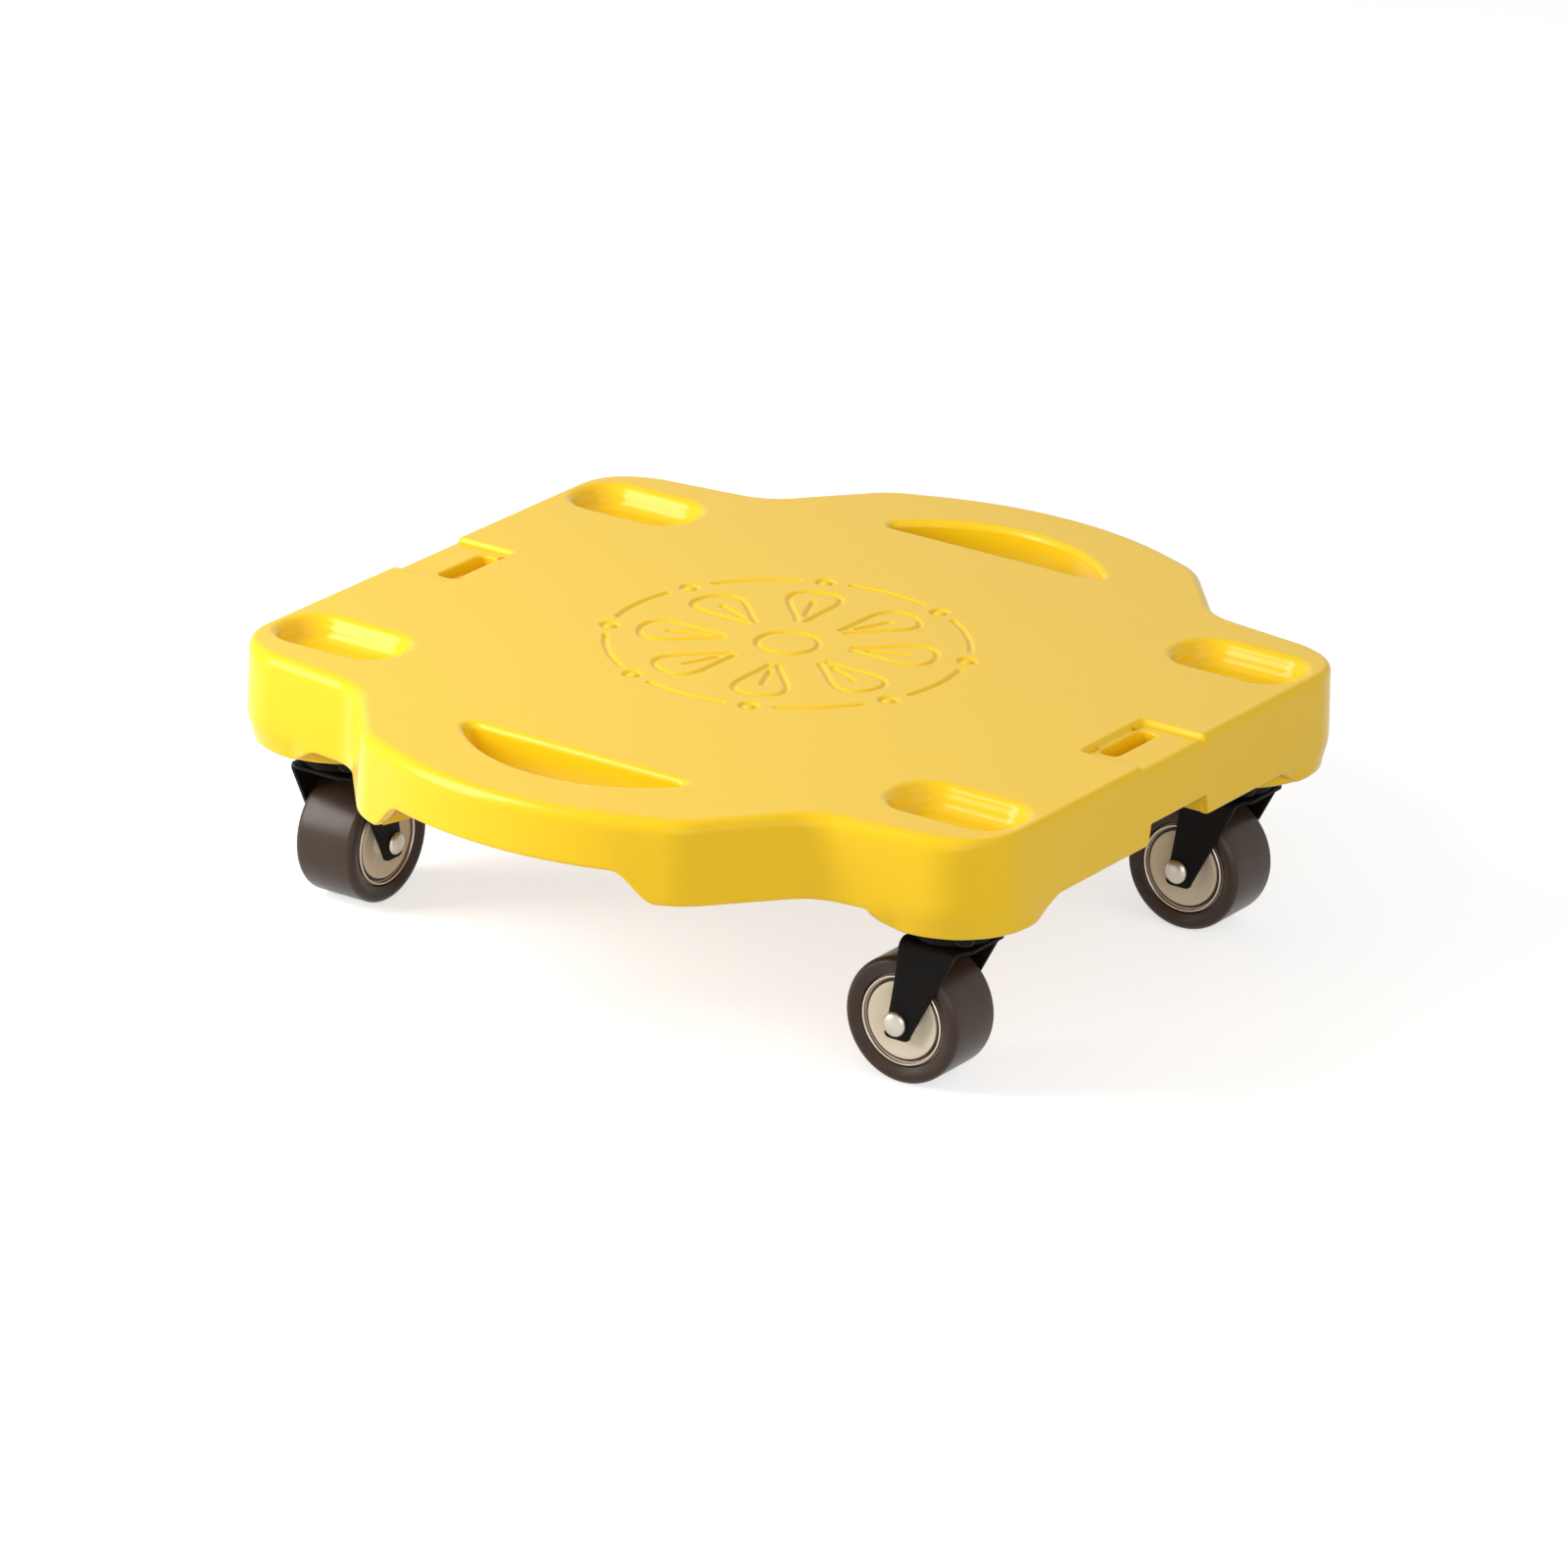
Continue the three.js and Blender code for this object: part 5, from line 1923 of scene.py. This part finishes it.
    def _fork(self) -> MeshDraft:
        """The pressed fork: one bent strip with rounded bends and rolled edges.

        Returns:
            Its draft about the upright axis, heading along X.
        """
        draft = MeshDraft()
        mid_y = (self.leg_inner + self.leg_outer) / 2
        mid_top = (self.fork_top + self.fork_under) / 2
        half_thick = (self.fork_top - self.fork_under) / 2
        radius = self.bend_radius
        toe = [self.end_z + self.end_round * (1 - math.cos(a)) for a in np.linspace(0.0, PI / 2, 7)]
        half = [(mid_y, z) for z in [*toe, *np.linspace(toe[-1], mid_top - radius, 26)[1:]]]
        half += [(y, z) for y, z in arc_points(mid_y - radius, mid_top - radius, radius, 0.0, PI / 2, 7)][1:]
        half += [(y, mid_top) for y in np.linspace(mid_y - radius, 0.0, 9)][1:]
        path = half + [(-y, z) for y, z in reversed(half[:-1])]
        rings = []
        for (y, z), (ny, nz) in zip(path, self._path_normals(path), strict=True):
            back, front = self._strip_edges(y, z)
            first = len(draft.points)
            for along, out in self._leg_section():
                x = back + (front - back) * along
                rolled = min(min(x - back, front - x) / self.rolled_edge, 1.0)
                reach = out * (half_thick - self.rolled_by * (1 - rolled))
                draft.points.append((x, y + ny * reach, z + nz * reach))
            rings.append(list(range(first, len(draft.points))))
        draft.strips(rings)
        draft.faces += [tuple(rings[0]), tuple(reversed(rings[-1]))]
        return draft

    def _strip_edges(self, y: float, z: float) -> tuple[float, float]:
        """Edges of the pressed strip, where the crown's front follows a circle.

        Args:
            y: Place across the fork.
            z: Height above the floor.

        Returns:
            Place of the back edge and of the front edge along the fork.
        """
        middle = (self.leg_inner + self.leg_outer) / 2
        if abs(y) >= middle - 1e-6:
            return self._side_edges(z)
        crown = math.sqrt(middle**2 + self.knee_x**2 - y * y)
        return self._side_edges(z)[0], min(crown, self.fork_front)

    @staticmethod
    def _leg_section() -> list[tuple[float, float]]:
        """Section of the strip.

        Returns:
            Points as shares of its width and of its half thickness.
        """
        shares = [0.0, 0.02, 0.05, 0.14, 0.3, 0.5, 0.7, 0.86, 0.95, 0.98, 1.0]
        outer = [(share, 1.0) for share in shares]
        return outer + [(share, -1.0) for share in reversed(shares)]

    @staticmethod
    def _path_normals(path: Sequence[tuple[float, float]]) -> list[tuple[float, float]]:
        """Outward normals of the strip's centre line.

        Args:
            path: Centre line as places across the fork and heights.

        Returns:
            One normal for each point.
        """
        run = np.gradient(np.array(path), axis=0)
        run /= np.linalg.norm(run, axis=1, keepdims=True)
        return [(float(dz), float(-dy)) for dy, dz in run]

    def _bolt(self) -> MeshDraft:
        """The axle bolt with its domed head on the leg.

        Returns:
            Its draft about its own axis.
        """
        head, shank = self.bolt_head, self.bolt_radius
        seat, end = -self.leg_outer - self.seat_gap, self.leg_outer + self.bolt_past
        quarter = np.linspace(0.0, PI / 2, 9)
        profile = [(head * math.sin(a), seat - 0.5 - self.bolt_dome * math.cos(a)) for a in quarter]
        profile += [(head, seat - 0.1), (head - 0.2, seat), (shank, seat)]
        return lathe([*profile, (shank, end - 0.4), (shank - 0.4, end), (0.0, end)], 48)

    def _nut(self) -> MeshDraft:
        """The domed cap nut on the other leg.

        Returns:
            Its draft about its own axis.
        """
        head, bore, dome = self.nut_radius, self.bolt_radius + 0.2, self.nut_dome
        seat = self.leg_outer + self.seat_gap
        top = seat + self.nut_height
        profile = [(0.0, seat + dome), (bore, seat + dome), (bore, seat), (head - 0.2, seat)]
        profile.append((head, seat + 0.2))
        quarter = np.linspace(0.0, PI / 2, 10)[:-1]
        profile += [(head * math.cos(a), top - dome + dome * math.sin(a)) for a in quarter]
        return lathe([*profile, (0.0, top)], 48)

    def _tyre(self) -> None:
        """The tyre with a flat tread, rounded shoulders and a small bead round the hub."""
        face, bore, radius = self.half_width, self.hub_radius + 0.3, self.wheel_radius
        edge, sunk = radius - self.tyre_shoulder, face - self.face_inset
        half = [(bore, 0.0), (bore, face - 1.9), (bore + 0.25, face - 1.5), (bore + 0.7, sunk + 0.1)]
        half += [(bore + 1.3, sunk + 0.25), (edge - 1.2, face - 0.12)]
        half += [*arc_points(edge, face - self.tyre_shoulder, self.tyre_shoulder, PI / 2, 0.0, 9)]
        half += [(radius, face * 0.35), (radius, 0.0)]
        profile = half + [(r, -z) for r, z in reversed(half[1:-1])]
        count = len(profile)
        points = [(r - radius, z, 0.0) for r, z in profile]
        section = new_mesh("tyre_section", points, [(i, (i + 1) % count) for i in range(count)])
        name = f"tyre_ring_{self.corner.tag}"
        mesh = self._tyre_sweep().mesh(name, section, self.palette[Slot.TYRE])
        place = self._on_axle()
        place.translation *= MM
        mesh.transform(place)
        piece = finish_mesh(name, mesh, self.palette[Slot.TYRE])
        hand_over(piece, f"wheel_{self.corner.tag}", [f"tyre_{self.corner.tag}"])

    def _tyre_sweep(self) -> GeometryTree:
        """Tree that sweeps the tyre's section round a circle.

        Returns:
            The tree.
        """
        tree = GeometryTree("tyre_sweep", {"Tyre Radius": self.wheel_radius * MM})
        feeds = {"Radius": tree.inputs["Tyre Radius"], "Resolution": self.tyre_facets}
        tread = tree.add("GeometryNodeCurvePrimitiveCircle", feeds, mode="RADIUS").outputs[0]
        section = tree.add("GeometryNodeMeshToCurve", {"Mesh": tree.inputs["Geometry"]}).outputs[0]
        tree.sweep(tread, section)
        return tree

    @property
    def seat(self) -> float:
        """Distance of the hub's outer rim from the middle of the wheel."""
        return self.half_width - self.face_inset - self.rim_inset

    @property
    def disc(self) -> float:
        """Distance of the hub's face from the middle of the wheel."""
        return self.seat + self.disc_height

    def _hub(self) -> MeshDraft:
        """The hub: a dished disc, a groove inside each trim ring, darkened by real shade and by a ring of
        painted shade, and a collar at the bore.

        Returns:
            Its draft about its own axis.
        """
        seat, disc, collar = self.seat, self.disc, self.leg_inner - 0.6
        rim, trim, groove = self.hub_radius, self.trim_inner, self.groove_inner
        tube, bore = self.collar_radius, self.bore_radius
        side = [(rim, seat - 0.3), (rim - 0.3, seat), (trim - 0.3, seat), (trim - 0.5, seat - 0.4)]
        side += [(trim - 0.5, disc - 2.4), (groove, disc - 2.4), (groove, disc - 0.5)]
        side += [(groove - 0.15, disc - 0.15), (groove - 0.5, disc), (groove - 1.6, disc - 0.12)]
        side += [(11.0, disc - 1.0), (tube + 1.5, disc - 1.55), (tube + 0.8, disc - 1.5)]
        side += [(tube + 0.4, disc - 1.1), (tube + 0.3, collar - 0.4), (tube, collar)]
        side += [(bore + 0.3, collar), (bore, collar - 0.3)]
        return lathe(side + [(r, -z) for r, z in reversed(side)], self.hub_facets, closed=True)

    def _seals(self) -> MeshDraft:
        """Dark rings that fill the hub's grooves inside the trim rings, as painted shade of the grooves.

        Returns:
            Both rings in one draft about the wheel's axis.
        """
        inner, outer = self.groove_inner + 0.05, self.trim_inner - 0.55
        low, top = self.disc - 2.35, self.disc - 0.55
        profile = [(inner, low), (outer, low), (outer, top - 0.4), (outer - 0.15, top - 0.12)]
        profile += [(outer - 0.45, top), (inner + 0.45, top), (inner + 0.15, top - 0.12), (inner, top - 0.4)]
        draft = MeshDraft()
        for side in (-1, 1):
            draft.join(lathe([(r, z * side) for r, z in profile], self.hub_facets, closed=True))
        return draft

    def _trim(self, side: int) -> MeshDraft:
        """The bright ring pressed round one of the hub's faces.

        Args:
            side: Face of the hub, -1 or 1.

        Returns:
            Its draft about the wheel's axis.
        """
        seat = self.seat + self.seat_gap
        top = seat + self.trim_height
        inner, outer = self.trim_inner, self.hub_radius - 0.3
        middle = (inner + outer) / 2
        profile = [(inner, seat), (outer, seat), (outer, top - 0.5), (outer - 0.1, top - 0.2)]
        profile += [(middle + 0.2, top), (middle - 0.2, top), (inner + 0.1, top - 0.2), (inner, top - 0.5)]
        return lathe([(r, z * side) for r, z in profile], self.hub_facets, closed=True)


# Stage, light and camera


@dataclass
class Studio:
    """Pale floor, soft lights and the camera at the photograph's viewing angle."""

    azimuth: float = 34.07
    elevation: float = 21.28
    roll: float = 1.66
    distance: float = 3.894
    focal_pixels: float = 9935.0
    image_pixels: float = 1600.0
    sensor: float = 36.0
    sight: float = 50.0
    target: tuple[float, float, float] = (0.0858, -0.1290, 0.1192)
    lamp_aim: float = 0.08
    floor_half: float = 9.0
    floor_lift: float = 0.66
    floor_shade: float = 0.62
    world_strength: float = 0.39

    def build(self) -> None:
        """Set up the view, the camera, the floor and the lights."""
        scene = bpy.context.scene
        scene.view_settings.view_transform = "Standard"
        self._camera(scene)
        self._floor()
        self._world(scene)
        self._lamp("tall_softbox", -42.0, 31.0, 1.3, (0.36, 1.1), 13.0)
        self._lamp("edge_strip", -56.0, 30.0, 1.3, (0.16, 1.0), 4.6)
        self._lamp("front_fill", 40.0, 20.0, 3.2, (2.2, 1.4), 17.5)
        self._lamp("right_fill", 82.0, 28.0, 2.4, (1.4, 1.4), 10.5)

    @staticmethod
    def _direction(azimuth: float, elevation: float) -> Vector:
        """Unit vector from the object towards a place given by its angles in degrees."""
        a, e = math.radians(azimuth), math.radians(elevation)
        return Vector((math.sin(a) * math.cos(e), -math.cos(a) * math.cos(e), math.sin(e)))

    def _camera(self, scene: bpy.types.Scene) -> None:
        """Place the camera and make it the scene's.

        Args:
            scene: The scene.
        """
        back = self._direction(self.azimuth, self.elevation)
        right = (-back).cross(Vector((0.0, 0.0, 1.0))).normalized()
        up = right.cross(-back)
        turn = math.radians(self.roll)
        across = right * math.cos(turn) + up * math.sin(turn)
        above = up * math.cos(turn) - right * math.sin(turn)
        camera = bpy.data.objects.new("photo_camera", bpy.data.cameras.new("photo_camera"))
        camera.data.sensor_width = self.sensor
        camera.data.lens = self.focal_pixels / self.image_pixels * self.sensor
        camera.data.clip_end = self.sight
        axes = Matrix((across, above, back)).transposed().to_4x4()
        camera.matrix_world = Matrix.Translation(Vector(self.target) + back * self.distance) @ axes
        scene.collection.objects.link(camera)
        scene.camera = camera

    def _floor(self) -> None:
        """A wide pale floor that keeps the object's shadow."""
        mesh = bpy.data.meshes.new("studio_floor")
        sides = ((-1, -1), (1, -1), (1, 1), (-1, 1))
        spots = [(x * self.floor_half, y * self.floor_half, 0.0) for x, y in sides]
        mesh.from_pydata(spots, [], [(0, 1, 2, 3)])
        floor = bpy.data.objects.new("studio_floor", mesh)
        bpy.context.scene.collection.objects.link(floor)
        mesh.materials.append(self._floor_material())

    def _floor_material(self) -> bpy.types.Material:
        """White floor: diffuse for light and shadow, lifted to white for the camera and for gloss.

        Returns:
            The material.
        """
        made, nodes = new_material("studio_floor")
        shade = nodes.add("ShaderNodeBsdfDiffuse", {"Color": (*(self.floor_shade,) * 3, 1.0)}).outputs[0]
        lift = nodes.maths("MULTIPLY", self._seen(nodes), self.floor_lift)
        glow = nodes.add("ShaderNodeEmission", {"Strength": lift}).outputs[0]
        both = nodes.add("ShaderNodeAddShader", {0: shade, 1: glow}).outputs[0]
        nodes.add("ShaderNodeOutputMaterial", {"Surface": both})
        return made

    @staticmethod
    def _seen(nodes: NodeTree) -> bpy.types.NodeSocket:
        """Add a mask of the rays that show the background.

        Args:
            nodes: Tree of the floor or the world.

        Returns:
            One for camera, glossy and transmission rays, and zero for the others.
        """
        rays = nodes.add("ShaderNodeLightPath").outputs
        direct = nodes.maths("MAXIMUM", rays["Is Camera Ray"], rays["Is Glossy Ray"])
        return nodes.maths("MAXIMUM", direct, rays["Is Transmission Ray"])

    def _world(self, scene: bpy.types.Scene) -> None:
        """Even pale surroundings, white to the camera and in gloss.

        Args:
            scene: The scene.
        """
        world = bpy.data.worlds.new("studio_world")
        scene.world = world
        world.use_nodes = True
        nodes = NodeTree(world.node_tree)
        feeds = {0: self._seen(nodes), 2: self.world_strength, 3: 1.0}
        level = nodes.add("ShaderNodeMix", feeds, data_type="FLOAT").outputs[0]
        back = world.node_tree.nodes["Background"]
        back.inputs["Color"].default_value = WHITE
        world.node_tree.links.new(level, back.inputs["Strength"])

    def _lamp(
        self,
        name: str,
        azimuth: float,
        elevation: float,
        distance: float,
        size: tuple[float, float],
        power: float,
    ) -> None:
        """Add a soft rectangular lamp that looks at the object.

        Args:
            name: Lamp name.
            azimuth: Direction in degrees, as the camera's.
            elevation: Height above the horizon in degrees.
            distance: Distance in metres.
            size: Width and height in metres.
            power: Watts.
        """
        data = bpy.data.lights.new(name, "AREA")
        data.shape = "RECTANGLE"
        data.size, data.size_y = size
        data.energy = power
        lamp = bpy.data.objects.new(name, data)
        toward = self._direction(azimuth, elevation)
        lamp.location = Vector((0.0, 0.0, self.lamp_aim)) + toward * distance
        lamp.rotation_euler = (-toward).to_track_quat("-Z", "Y").to_euler()
        bpy.context.scene.collection.objects.link(lamp)


def main() -> None:
    """Build the studio and every sub-assembly in order and report them."""
    logging.basicConfig(level=logging.INFO, format="%(name)s: %(message)s")
    Studio().build()
    palette = Palette()
    Deck(palette).build()
    CasterMount(palette).build()
    for corner in Corner:
        Caster(palette, corner).build()
        LOG.info("caster %s done", corner.tag)


if __name__ == "__main__":
    main()
